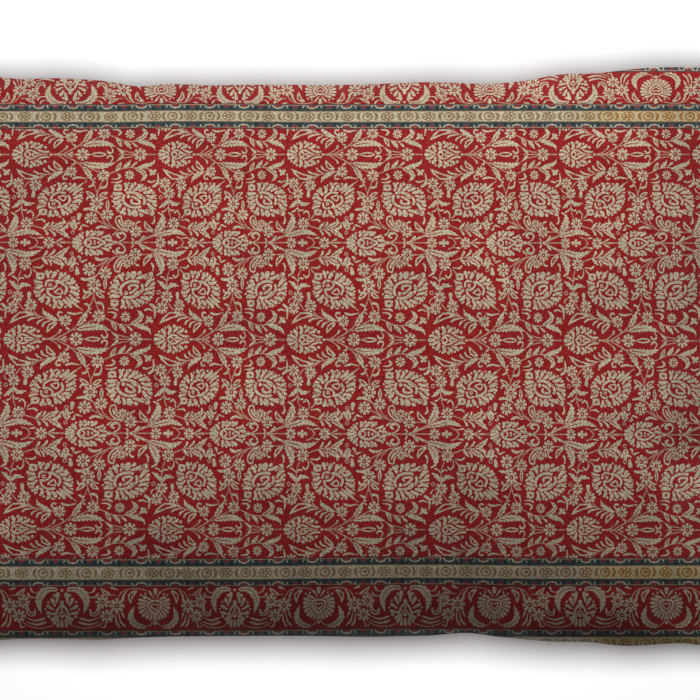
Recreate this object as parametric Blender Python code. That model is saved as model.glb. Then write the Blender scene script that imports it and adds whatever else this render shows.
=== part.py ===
"""Lumbar pillow: a filled knife-edge cushion that lies on its back, patterned face up.

Units are metres with +Z up. The origin is on the surface that the pillow rests on,
below the middle of its outline. +X runs along the long side, +Y to the far long edge.
"""
import math

import bmesh
import bpy

# Driving dimensions
LENGTH = 0.508            # the cover left to right, at its corners before the tips are rounded
WIDTH = 0.3556           # the cover near to far, likewise
CROWN_FRONT = 0.062       # rise of the face above the seam, at the middle
CROWN_BACK = 0.060        # drop of the back below the seam, before the surface flattens it
SEAM_HEIGHT = 0.052       # the seam above the surface, along the middle of each edge
EAR_DROP = 0.014          # how much lower the seam is at the tips of the ears

# The long edges are drawn in more than the short ones
DRAW_IN_LONG_EDGES = 0.0115
DRAW_IN_SHORT_EDGES = 0.009
DRAW_IN_POWER = 3.0

# The tips of the four ears are rounded off
EAR_ROUND = 0.006
EAR_SHARPNESS = 30.0

# How the crown falls to the seam: along the length, along the width, and both together
CROWN_POWER_LENGTH = 3.6
CROWN_POWER_WIDTH = 2.5
CROWN_ROUNDNESS = 0.72

# The back is flat where it rests: all that would be lower than this lies on the surface
LIES_FLAT_BELOW = 0.0006

# Puckers run in from the seam, deepest at this distance, never through the filling
PUCKER_REACH = 0.016
PUCKER_LIMIT = 0.35

# Where the seam wanders, edge by edge. Columns: the edge, the place along it, the half
# width of the wave, how far the seam stands out (in if negative), the pucker's depth.
SEAM_WAVES = (
    ("far", -0.181, 0.008, -0.0012, 0.0022),
    ("far", -0.150, 0.020, 0.0009, 0.0),
    ("far", -0.110, 0.009, -0.0024, 0.0034),
    ("far", -0.066, 0.014, -0.0009, 0.0014),
    ("far", 0.000, 0.030, -0.0006, 0.0),
    ("far", 0.060, 0.020, 0.0009, 0.0),
    ("far", 0.100, 0.010, -0.0008, 0.0026),
    ("far", 0.145, 0.012, 0.0026, -0.0008),
    ("far", 0.171, 0.008, 0.0, 0.0018),
    ("far", 0.195, 0.030, 0.0046, 0.0),
    ("near", -0.190, 0.022, -0.0022, 0.0020),
    ("near", -0.134, 0.010, 0.0008, 0.0),
    ("near", -0.062, 0.012, 0.0, 0.0018),
    ("near", 0.030, 0.014, 0.0006, 0.0),
    ("near", 0.088, 0.011, -0.0024, 0.0034),
    ("near", 0.140, 0.014, 0.0016, -0.0008),
    ("near", 0.182, 0.012, 0.0020, 0.0),
    ("near", 0.222, 0.012, -0.0024, 0.0024),
    ("left", -0.094, 0.016, -0.0012, 0.0024),
    ("left", 0.012, 0.022, 0.0010, 0.0),
    ("left", 0.086, 0.012, -0.0010, 0.0020),
    ("right", -0.060, 0.014, -0.0012, 0.0026),
    ("right", 0.030, 0.020, 0.0010, 0.0),
    ("right", 0.104, 0.012, -0.0012, 0.0022),
)

# Grid of each panel; the rows close up towards the seam, where the crown is steep
PANEL_COLUMNS = 56
PANEL_ROWS = 36
CLOSE_UP = 0.90

COVER_COLOUR = (0.36, 0.055, 0.048, 1.0)
COVER_ROUGHNESS = 0.92


def clear_scene():
    for obj in list(bpy.data.objects):
        bpy.data.objects.remove(obj, do_unlink=True)


def close_up(t):
    """Turn an even grid place from -1 to 1 into one that is finer near the seam."""
    reach = CLOSE_UP * math.pi / 2
    return math.sin(t * reach) / math.sin(reach)


def seam_wave(edge, along):
    """How far the seam stands out, and how deep its pucker is, at a place along an edge."""
    stands_out = 0.0
    pucker = 0.0
    for row_edge, at, half_width, out, depth in SEAM_WAVES:
        if row_edge == edge:
            share = math.exp(-0.5 * ((along - at) / half_width) ** 2)
            stands_out += out * share
            pucker += depth * share
    return stands_out, pucker


def pucker_share(inward):
    """A pucker starts at nothing on the seam, is deepest at its reach, then fades."""
    distance = inward / PUCKER_REACH
    return distance * math.exp(1 - distance)


def rest_on_surface(height):
    """Lay flat on the surface all that would sink into it."""
    return height if height > LIES_FLAT_BELOW else 0.0


def cover_point(u, v, side):
    """A point of the cover: u and v run from -1 to 1 over the panel, side is 1 for the face."""
    out_x, pucker_x = seam_wave("right" if u > 0 else "left", v * WIDTH / 2)
    out_y, pucker_y = seam_wave("far" if v > 0 else "near", u * LENGTH / 2)
    half_x = LENGTH / 2 - DRAW_IN_SHORT_EDGES * (1 - abs(v) ** DRAW_IN_POWER) + out_x
    half_y = WIDTH / 2 - DRAW_IN_LONG_EDGES * (1 - abs(u) ** DRAW_IN_POWER) + out_y
    ear = EAR_ROUND * abs(u * v) ** EAR_SHARPNESS
    x = u * half_x - math.copysign(ear, u)
    y = v * half_y - math.copysign(ear, v)

    fullness = (1 - abs(u) ** CROWN_POWER_LENGTH) * (1 - abs(v) ** CROWN_POWER_WIDTH)
    fullness = max(fullness, 0.0) ** CROWN_ROUNDNESS
    crown = (CROWN_FRONT if side > 0 else CROWN_BACK) * fullness
    pucker = pucker_y * pucker_share((1 - abs(v)) * WIDTH / 2)
    pucker += pucker_x * pucker_share((1 - abs(u)) * LENGTH / 2)
    crown -= min(pucker, PUCKER_LIMIT * crown)
    seam = SEAM_HEIGHT - EAR_DROP * (u * v) ** 4
    z = seam + crown if side > 0 else rest_on_surface(seam - crown)
    return x, y, z


def add_panel(bm, side):
    """One panel of the cover as a grid, shaped by its place; the corner quads are split so
    that the two panels never share a face at the tip of an ear."""
    made = bmesh.ops.create_grid(bm, x_segments=PANEL_COLUMNS, y_segments=PANEL_ROWS, size=1)
    verts = made["verts"]
    corners = [vert for vert in verts if abs(vert.co.x * vert.co.y) > 0.9999]
    for corner in corners:
        quad = corner.link_faces[0]
        inner = next(vert for vert in quad.verts if vert is not corner and len(vert.link_faces) == 4)
        bmesh.ops.connect_verts(bm, verts=[corner, inner])
    for vert in verts:
        vert.co = cover_point(close_up(vert.co.x), close_up(vert.co.y), side)
    if side < 0:
        faces = {face for vert in verts for face in vert.link_faces}
        bmesh.ops.reverse_faces(bm, faces=list(faces))


def make_cover_material():
    material = bpy.data.materials.new("patterned_cloth")
    material.use_nodes = True
    shader = material.node_tree.nodes["Principled BSDF"]
    shader.inputs["Base Color"].default_value = COVER_COLOUR
    shader.inputs["Roughness"].default_value = COVER_ROUGHNESS
    shader.inputs["Metallic"].default_value = 0.0
    return material


def make_pillow(collection):
    bm = bmesh.new()
    for side in (1, -1):
        add_panel(bm, side)
    bmesh.ops.remove_doubles(bm, verts=bm.verts, dist=1e-6)
    xs = [vert.co.x for vert in bm.verts]
    ys = [vert.co.y for vert in bm.verts]
    middle_x = (min(xs) + max(xs)) / 2
    middle_y = (min(ys) + max(ys)) / 2
    for vert in bm.verts:
        vert.co.x -= middle_x
        vert.co.y -= middle_y
    bmesh.ops.triangulate(bm, faces=bm.faces)
    mesh = bpy.data.meshes.new("pillow")
    bm.to_mesh(mesh)
    bm.free()
    mesh.materials.append(make_cover_material())
    mesh.shade_smooth()
    pillow = bpy.data.objects.new("pillow", mesh)
    collection.objects.link(pillow)
    return pillow


def main():
    clear_scene()
    collection = bpy.data.collections.new("lumbar_pillow")
    bpy.context.scene.collection.children.link(collection)
    make_pillow(collection)


main()
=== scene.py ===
"""Lumbar pillow: a filled knife-edge cushion lying on its back, seen from straight above.

Units are metres with +Z up, as in the CAD model. The cover is one closed mesh: its print is
charted flat, cut into areas of one colour, and lifted on to the crown.
"""
import math

import bpy
import numpy as np
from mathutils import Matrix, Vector
from mathutils.geometry import delaunay_2d_cdt


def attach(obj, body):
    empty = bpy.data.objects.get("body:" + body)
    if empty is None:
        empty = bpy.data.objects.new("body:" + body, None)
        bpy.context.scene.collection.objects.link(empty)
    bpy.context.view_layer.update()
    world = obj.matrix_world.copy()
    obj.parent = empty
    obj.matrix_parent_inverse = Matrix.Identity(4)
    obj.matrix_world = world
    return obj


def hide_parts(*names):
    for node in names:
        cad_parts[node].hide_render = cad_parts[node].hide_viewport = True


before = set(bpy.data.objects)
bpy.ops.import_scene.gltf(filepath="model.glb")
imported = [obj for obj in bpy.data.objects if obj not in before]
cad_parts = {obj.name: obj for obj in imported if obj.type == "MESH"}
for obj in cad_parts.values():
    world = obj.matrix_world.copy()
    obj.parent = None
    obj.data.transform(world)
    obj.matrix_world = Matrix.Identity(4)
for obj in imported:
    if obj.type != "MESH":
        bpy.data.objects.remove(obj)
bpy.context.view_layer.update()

# Shape of the filled cover, the same values as the CAD solid
LENGTH = 0.508
WIDTH = 0.3556
CROWN_FRONT = 0.062
CROWN_BACK = 0.060
SEAM_HEIGHT = 0.052
EAR_DROP = 0.014
DRAW_IN_LONG_EDGES = 0.0115
DRAW_IN_SHORT_EDGES = 0.009
DRAW_IN_POWER = 3.0
EAR_ROUND = 0.006
EAR_SHARPNESS = 30.0
CROWN_POWER_LENGTH = 3.6
CROWN_POWER_WIDTH = 2.5
CROWN_ROUNDNESS = 0.72
LIES_FLAT_BELOW = 0.0006
PUCKER_REACH = 0.016
PUCKER_LIMIT = 0.35
# Columns: the edge, the place along it, the half width of the wave, how far the seam
# stands out (in if negative), the pucker's depth
SEAM_WAVES = (
    ("far", -0.181, 0.008, -0.0012, 0.0022),
    ("far", -0.150, 0.020, 0.0009, 0.0),
    ("far", -0.110, 0.009, -0.0024, 0.0034),
    ("far", -0.066, 0.014, -0.0009, 0.0014),
    ("far", 0.000, 0.030, -0.0006, 0.0),
    ("far", 0.060, 0.020, 0.0009, 0.0),
    ("far", 0.100, 0.010, -0.0008, 0.0026),
    ("far", 0.145, 0.012, 0.0026, -0.0008),
    ("far", 0.171, 0.008, 0.0, 0.0018),
    ("far", 0.195, 0.030, 0.0046, 0.0),
    ("near", -0.190, 0.022, -0.0022, 0.0020),
    ("near", -0.134, 0.010, 0.0008, 0.0),
    ("near", -0.062, 0.012, 0.0, 0.0018),
    ("near", 0.030, 0.014, 0.0006, 0.0),
    ("near", 0.088, 0.011, -0.0024, 0.0034),
    ("near", 0.140, 0.014, 0.0016, -0.0008),
    ("near", 0.182, 0.012, 0.0020, 0.0),
    ("near", 0.222, 0.012, -0.0024, 0.0024),
    ("left", -0.094, 0.016, -0.0012, 0.0024),
    ("left", 0.012, 0.022, 0.0010, 0.0),
    ("left", 0.086, 0.012, -0.0010, 0.0020),
    ("right", -0.060, 0.014, -0.0012, 0.0026),
    ("right", 0.030, 0.020, 0.0010, 0.0),
    ("right", 0.104, 0.012, -0.0012, 0.0022),
)
EAR_DROP_POWER = 4       # how close to the tips of the ears the seam drops

# Shallow gathers that run in from the seam. Columns: length of the wave, depth, phase
GATHERS = ((0.0223, 0.00045, 0.4), (0.0371, 0.00050, 2.1), (0.0667, 0.00045, 4.0))
GATHER_REACH = 0.0055
SHORT_EDGE_PHASE = 1.3   # what is added to the phase along the short edges
LEAST_CROWN = 0.6        # the gathers leave at least this share of the crown

# How the seam rises and falls on its way round. Columns: length of the wave, height, phase
SEAM_RIPPLES = ((0.071, 0.0006, 0.9), (0.113, 0.0009, 2.4))
RIPPLE_POWER = 5         # how fast the ripple fades inward from the seam
STILL_EAR_POWER = 8      # how close to the tips of the ears the ripple ends

# The two panels are pinched flat against each other where they are sewn
PINCH_REACH = 0.0030
PINCH_POWER = 0.55

# Simulation of the cloth over the filling: its grid, how long it runs, and its settings
SIM_COLUMNS = 88
SIM_ROWS = 62
SIM_FRAMES = 20
SIM_CLOTH = {
    "quality": 8,
    "mass": 0.2,
    "tension_stiffness": 20,
    "compression_stiffness": 20,
    "shear_stiffness": 8,
    "bending_stiffness": 0.08,
    "use_pressure": True,
    "uniform_pressure_force": 4.0,
    "vertex_group_mass": "seam",
    "shrink_min": -0.030,
}
# What is kept of it: the broad swelling, which is what many smoothings leave, is taken off,
# and the wrinkles that remain are smoothed a little, capped, and faded out at the seam
BROAD_SMOOTHING = 60
FINE_SMOOTHING = 6
WRINKLE_LIMIT = 0.0024
WRINKLE_FADE = 0.014

# The camera looks straight down. The plane of the seam is CAMERA_DISTANCE below it, and
# FRAME_WIDTH of that plane is in the picture
CAMERA_DISTANCE = 2.34
CAMERA_AIM = (0.0181, 0.0060)
CAMERA_LENS = 200.0
FRAME_WIDTH = 0.4219
CAMERA_SENSOR = FRAME_WIDTH * CAMERA_LENS / CAMERA_DISTANCE

# Colours of the print, in the order of the material slots
RED, PALE, STEM, ROSE, TEAL, NIGHT, GOLD, OCHRE, BACK = range(9)

# Chart of the cloth. A chart step is STEP metres, about one pixel of a 700-pixel picture
# at the seam's height. x runs to the right and y down; the pillow's middle is at
# CHART_MIDDLE
STEP = 0.0006027
CHART_MIDDLE = (320.0, 360.0)

# The field's repeat: a quarter of it is charted, from the small palmette on the first
# mirror line at REPEAT_AT to the next mirror line REPEAT_DROP below
REPEAT_AT = (303.0, 154.5)
REPEAT_WIDTH = 138.5
REPEAT_DROP = 87.9

# Where the weave seats that palmette: rows are mirror lines, columns are repeats. The cloth
# isn't laid quite even: halfway between two seats it is off by the bulge, and the lower
# rows run down a little to the right
SEAT_ROWS = (-25.0, 66.4, 154.5, 242.7, 339.8, 433.8, 529.5, 621.5)
SEAT_COLUMNS = (
    (-108.0, 29.0, 175.8, 303.0, 442.2, 575.0, 709.0, 845.0),
    (-108.0, 29.0, 175.8, 303.0, 442.2, 575.0, 709.0, 845.0),
    (-108.0, 29.0, 175.8, 303.0, 442.2, 575.0, 709.0, 845.0),
    (-113.0, 25.5, 173.0, 303.0, 444.4, 576.6, 712.0, 849.0),
    (-118.0, 21.0, 172.0, 303.4, 446.2, 580.2, 716.5, 854.5),
    (-122.5, 17.0, 168.8, 302.8, 447.4, 582.6, 719.0, 858.0),
    (-125.5, 15.5, 166.0, 300.8, 447.0, 582.8, 722.5, 862.0),
    (-125.5, 15.5, 166.0, 300.8, 447.0, 582.8, 722.5, 862.0),
)
BULGE_ACROSS = (0.0, 1.4, -0.6, -0.4, 1.4, -0.3, 0.0)
BULGE_DOWN = (0.0, 0.0, 0.0, 0.2, 0.0, 1.3, 0.0)
ROW_SLOPES = (0.0, 0.0, 0.0, 0.0012, 0.0030, 0.0026, 0.0015, 0.0)


# Shapes of the strokes, in chart steps and in shares of a stroke's length or width
PARTING = 1.3            # how much wider the line of ground round a petal is than the petal
BLUNT_BY = 0.45          # how much narrower than its full width a blunt end starts
# Columns: where the stroke is full, where it starts to thin, and how much it thins
BLADE_TAPER = (0.18, 0.25, 0.72)
PLUME_TAPER = (0.20, 0.50, 0.45)
PLUME_SWELL = 1.2        # a plume's full width, in its width in the tables
PLUME_PARTS_BY = 0.35    # how much the ground round a plume thins towards its foot
# How far the ground round a petal and a plume reaches past the tip, and short of the foot
PAST_TIP = 0.5
SHORT_OF_PETAL = -0.5
SHORT_OF_PLUME = -0.6
# Columns: share of a petal's length, and of its width there
PETAL_WIDTHS = ((0.0, 0.45), (0.45, 0.86), (0.75, 1.0), (0.95, 0.55))
LENS_START = 0.1         # a leaf's outline is a half wave that starts this far in,
LENS_POWER = 0.8         # and is made fuller by this power of it
LEAF_FOOT = 0.3          # width of a leaf's foot
OPEN_FOOT = 0.4          # width of an open leaf's foot
OPEN_LINE = 1.35         # width of the line that an open leaf is drawn with
# The inside of an open leaf: where it starts, how long it is, and its least width
OPEN_INSIDE = (0.12, 0.74, 0.3)
TOOTH_SPACING = 3.7
# The teeth of a leaf. Columns: place in the tooth, and share of the leaf's width there
TOOTH = ((0.0, 0.62), (0.8, 1.0))
VEINED_ABOVE = 5.5       # leaves wider than this have a vein
VEIN_LENGTH = 0.75
VEIN_THINS = 0.4
RING_HOLE = 0.5
# One petal of a rosette. Columns: turn in petals, and reach in radii
ROSETTE_PETAL = ((-0.5, 0.40), (-0.29, 0.98), (0.29, 0.98))
ROSETTE_PETALS = 8
ROSETTE_RING = 0.38
ROSETTE_EYE = 0.20
ROSETTE_GROUND = 0.5     # how far the ground round a rosette reaches past it


def place(table, value):
    """Interval of a rising table that holds the value, and the share of the way through it."""
    last = len(table) - 2
    i = max(0, min(last, sum(1 for entry in table if entry <= value) - 1))
    return i, (value - table[i]) / (table[i + 1] - table[i])


def part_way(start, end, share):
    return start + (end - start) * share


def sides(loop):
    """The sides of a closed run of points, each as its two ends."""
    return zip(loop, loop[1:] + loop[:1])


def stands_out(point, a, b):
    """How far a point is from the straight line through two others."""
    (x, y), (ax, ay), (bx, by) = point, a, b
    base = math.hypot(bx - ax, by - ay)
    return abs((bx - ax) * (ay - y) - (ax - x) * (by - ay)) / base if base else 0.0


def smooth_route(route, steps):
    """Points of a smooth curve through the route's points."""
    if len(route) == 2:
        return list(route)
    ends = (route[0],) + tuple(route) + (route[-1],)
    points = []
    for a, b, c, d in zip(ends, ends[1:], ends[2:], ends[3:]):
        for i in range(steps):
            t = i / steps
            points.append(tuple(
                0.5 * (2 * q + (r - p) * t + (2 * p - 5 * q + 4 * r - s) * t * t
                       + (3 * q - p - 3 * r + s) * t ** 3)
                for p, q, r, s in zip(a, b, c, d)))
    points.append(tuple(route[-1]))
    return points


def densify(route, count):
    """A two-point route with more points, so that a width can change along it."""
    if len(route) > 2:
        return route
    (ax, ay), (bx, by) = route
    return tuple((ax + (bx - ax) * i / count, ay + (by - ay) * i / count) for i in range(count + 1))


def distances(points):
    """How far along the line each of its points is."""
    run = [0.0]
    for (ax, ay), (bx, by) in zip(points, points[1:]):
        run.append(run[-1] + math.hypot(bx - ax, by - ay))
    return run


def either_side(point, a, b, half):
    """The points half a width to either side of one, square to the way from a to b."""
    (x, y), (ax, ay), (bx, by) = point, a, b
    size = math.hypot(bx - ax, by - ay)
    nx, ny = (ay - by) / size, (bx - ax) / size
    return (x + nx * half, y + ny * half), (x - nx * half, y - ny * half)


def round_outline(pairs, tip=()):
    """The outline that goes up the left of some pairs of points, round the tip, and back."""
    return [left for left, _ in pairs] + list(tip) + [right for _, right in pairs[::-1]]


def ribbon(route, width_at, steps=2):
    """A closed outline along a route; width_at gives the full width at a share of its length."""
    points = smooth_route(route, steps)
    run = distances(points)
    pairs = []
    for point, before, after, at in zip(points, points[:1] + points, points[1:] + points[-1:], run):
        pairs.append(either_side(point, before, after, width_at(at / run[-1]) / 2))
    return round_outline(pairs)


def moved(here, other, distance):
    """A point moved away from another one, towards it if negative."""
    (ax, ay), (bx, by) = here, other
    size = math.hypot(ax - bx, ay - by)
    return ax + (ax - bx) / size * distance, ay + (ay - by) / size * distance


def taper(width, full_at, thins_at, thins_by):
    """Width along a stroke with a blunt start that thins towards its end."""
    def width_at(t):
        start = 1 - BLUNT_BY + BLUNT_BY * min(t / full_at, 1)
        return width * start * (1 - thins_by * max(t - thins_at, 0) / (1 - thins_at))
    return width_at


def lens(width, foot):
    """Width of a leaf along its length: a narrow foot, widest before the middle, a point."""
    def width_at(t):
        wave = math.sin(math.pi * min(t * (1 - LENS_START) + LENS_START, 1))
        return width * max(foot * (1 - t), wave ** LENS_POWER)
    return width_at


def stem(marks, width, route, colour=STEM):
    marks.append((colour, ribbon(route, lambda t: width)))


def blade(marks, width, route, colour=PALE):
    """A comma leaf: a blunt thick end first, thinning to its stalk."""
    marks.append((colour, ribbon(densify(route, 4), taper(width, *BLADE_TAPER))))


def petal(marks, width, route, colour=PALE):
    """A petal from its narrow foot to its round tip, parted from what is under it."""
    foot, tip = route
    wider = (moved(foot, tip, SHORT_OF_PETAL), moved(tip, foot, PAST_TIP))
    for shade, full, ((ax, ay), (bx, by)) in ((RED, width + PARTING, wider), (colour, width, route)):
        dx, dy = bx - ax, by - ay
        size = math.hypot(dx, dy)
        nx, ny = -dy / size * full / 2, dx / size * full / 2
        pairs = [[(ax + dx * t + nx * w * way, ay + dy * t + ny * w * way) for way in (1, -1)]
                 for t, w in PETAL_WIDTHS]
        marks.append((shade, round_outline(pairs)))


def plume(marks, width, route, colour=PALE):
    """A curved petal, from its round tip to its narrower foot, parted from what is under it."""
    full = PLUME_SWELL * width
    tip = moved(route[0], route[1], PAST_TIP)
    foot = moved(route[-1], route[-2], SHORT_OF_PLUME)
    wider = (tip,) + tuple(route[1:-1]) + (foot,)
    marks.append((RED, ribbon(wider, lambda t: (full + PARTING) * (1 - PLUME_PARTS_BY * t), 1)))
    steps = 2 if len(route) == 3 else 1
    marks.append((colour, ribbon(densify(route, 3), taper(full, *PLUME_TAPER), steps)))


def leaf(marks, width, route, colour=PALE):
    """A serrated leaf; the teeth point to its tip, and a wide one has a vein."""
    points = smooth_route(densify(route, 3), 4)
    run = distances(points)
    full = lens(width, LEAF_FOOT)
    teeth = max(3, round(run[-1] / TOOTH_SPACING))
    pairs = []
    for k in range(teeth):
        for inside, part in TOOTH:
            t = (k + inside) / teeth
            i, share = place(run, t * run[-1])
            a, b = points[i], points[i + 1]
            middle = (part_way(a[0], b[0], share), part_way(a[1], b[1], share))
            pairs.append(either_side(middle, a, b, full(t) * part / 2))
    marks.append((colour, round_outline(pairs, points[-1:])))
    if width > VEINED_ABOVE:
        vein = points[1:max(3, int(len(points) * VEIN_LENGTH))]
        marks.append((RED, ribbon(vein[::2], lambda t: 1 - VEIN_THINS * t, 1)))


def open_leaf(marks, width, route):
    """A leaf drawn as an outline, red inside."""
    outer = lens(width, OPEN_FOOT)
    marks.append((PALE, ribbon(densify(route, 4), outer)))
    start, length, least = OPEN_INSIDE
    points = smooth_route(densify(route, 4), 2)[1:-1]
    marks.append((RED, ribbon(points, lambda t: max(least, outer(start + length * t) - 2 * OPEN_LINE), 1)))


def oval(marks, colour, centre, rx, ry, tilt=0.0, corners=10):
    x, y = centre
    c, s = math.cos(math.radians(tilt)), math.sin(math.radians(tilt))
    outline = []
    for i in range(corners):
        a = 2 * math.pi * (i + 0.5) / corners
        u, v = rx * math.cos(a), ry * math.sin(a)
        outline.append((x + u * c - v * s, y + u * s + v * c))
    marks.append((colour, outline))


def dot(marks, radius, centre, colour=PALE):
    oval(marks, colour, centre, radius, radius, corners=5)


def ring(marks, radius, centre):
    oval(marks, STEM, centre, radius, radius, corners=8)
    oval(marks, RED, centre, RING_HOLE * radius, RING_HOLE * radius, corners=6)


def rosette(marks, radius, centre):
    """A small blossom: petals parted by notches, a ring of the ground and an eye in it."""
    x, y = centre
    oval(marks, RED, centre, radius + ROSETTE_GROUND, radius + ROSETTE_GROUND, corners=8)
    outline = []
    for i in range(ROSETTE_PETALS):
        for turn, reach in ROSETTE_PETAL:
            a = 2 * math.pi * (i + turn) / ROSETTE_PETALS
            outline.append((x + radius * reach * math.cos(a), y + radius * reach * math.sin(a)))
    marks.append((PALE, outline))
    oval(marks, RED, centre, ROSETTE_RING * radius, ROSETTE_RING * radius, corners=5)
    oval(marks, PALE, centre, ROSETTE_EYE * radius, ROSETTE_EYE * radius, corners=3)


# The charted quarter of the repeat, and later the border's. Columns: the stroke, its width
# or radius, its route or centre, and a colour where it isn't the stroke's own

# On the first mirror line, drawn once
FIRST_LINE = (
    (stem, 1.2, ((324, 154.5), (345, 154.5))),
    (stem, 2.2, ((326, 154.5), (334, 154.5))),
    (blade, 1.6, ((343.5, 152.0), (338.5, 154.3))),
    (blade, 1.6, ((343.5, 157.0), (338.5, 154.7))),
    (stem, 1.0, ((345, 154.5), (361, 154.5))),
    (stem, 1.0, ((386, 154.5), (402, 154.5))),
    (rosette, 6.4, (352.5, 154.5)),
    (open_leaf, 5.0, ((374.4, 154.5), (359.4, 154.5))),
    (rosette, 6.6, (407.0, 154.5)),
    (stem, 1.2, ((413, 154.5), (422, 154.5))),
)
# On the second mirror line, drawn once
SECOND_LINE = (
    (rosette, 5.4, (290.8, 242.4)),
    (petal, 3.6, ((302.5, 242.4), (297.5, 242.4))),
    (petal, 3.6, ((302.5, 242.4), (307.8, 242.4))),
    (petal, 2.8, ((302.5, 242.4), (302.3, 238.6))),
    (petal, 2.8, ((302.5, 242.4), (302.3, 246.2))),
    (rosette, 5.6, (324.3, 242.4)),
    (stem, 1.1, ((330, 242.4), (347, 242.4))),
    (petal, 2.2, ((334.5, 242.4), (340.0, 242.4))),
    (petal, 3.8, ((391, 242.4), (383.5, 242.4))),
    (stem, 1.1, ((388, 242.4), (424, 242.4))),
    (dot, 1.5, (406, 242.4)),
)
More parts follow.
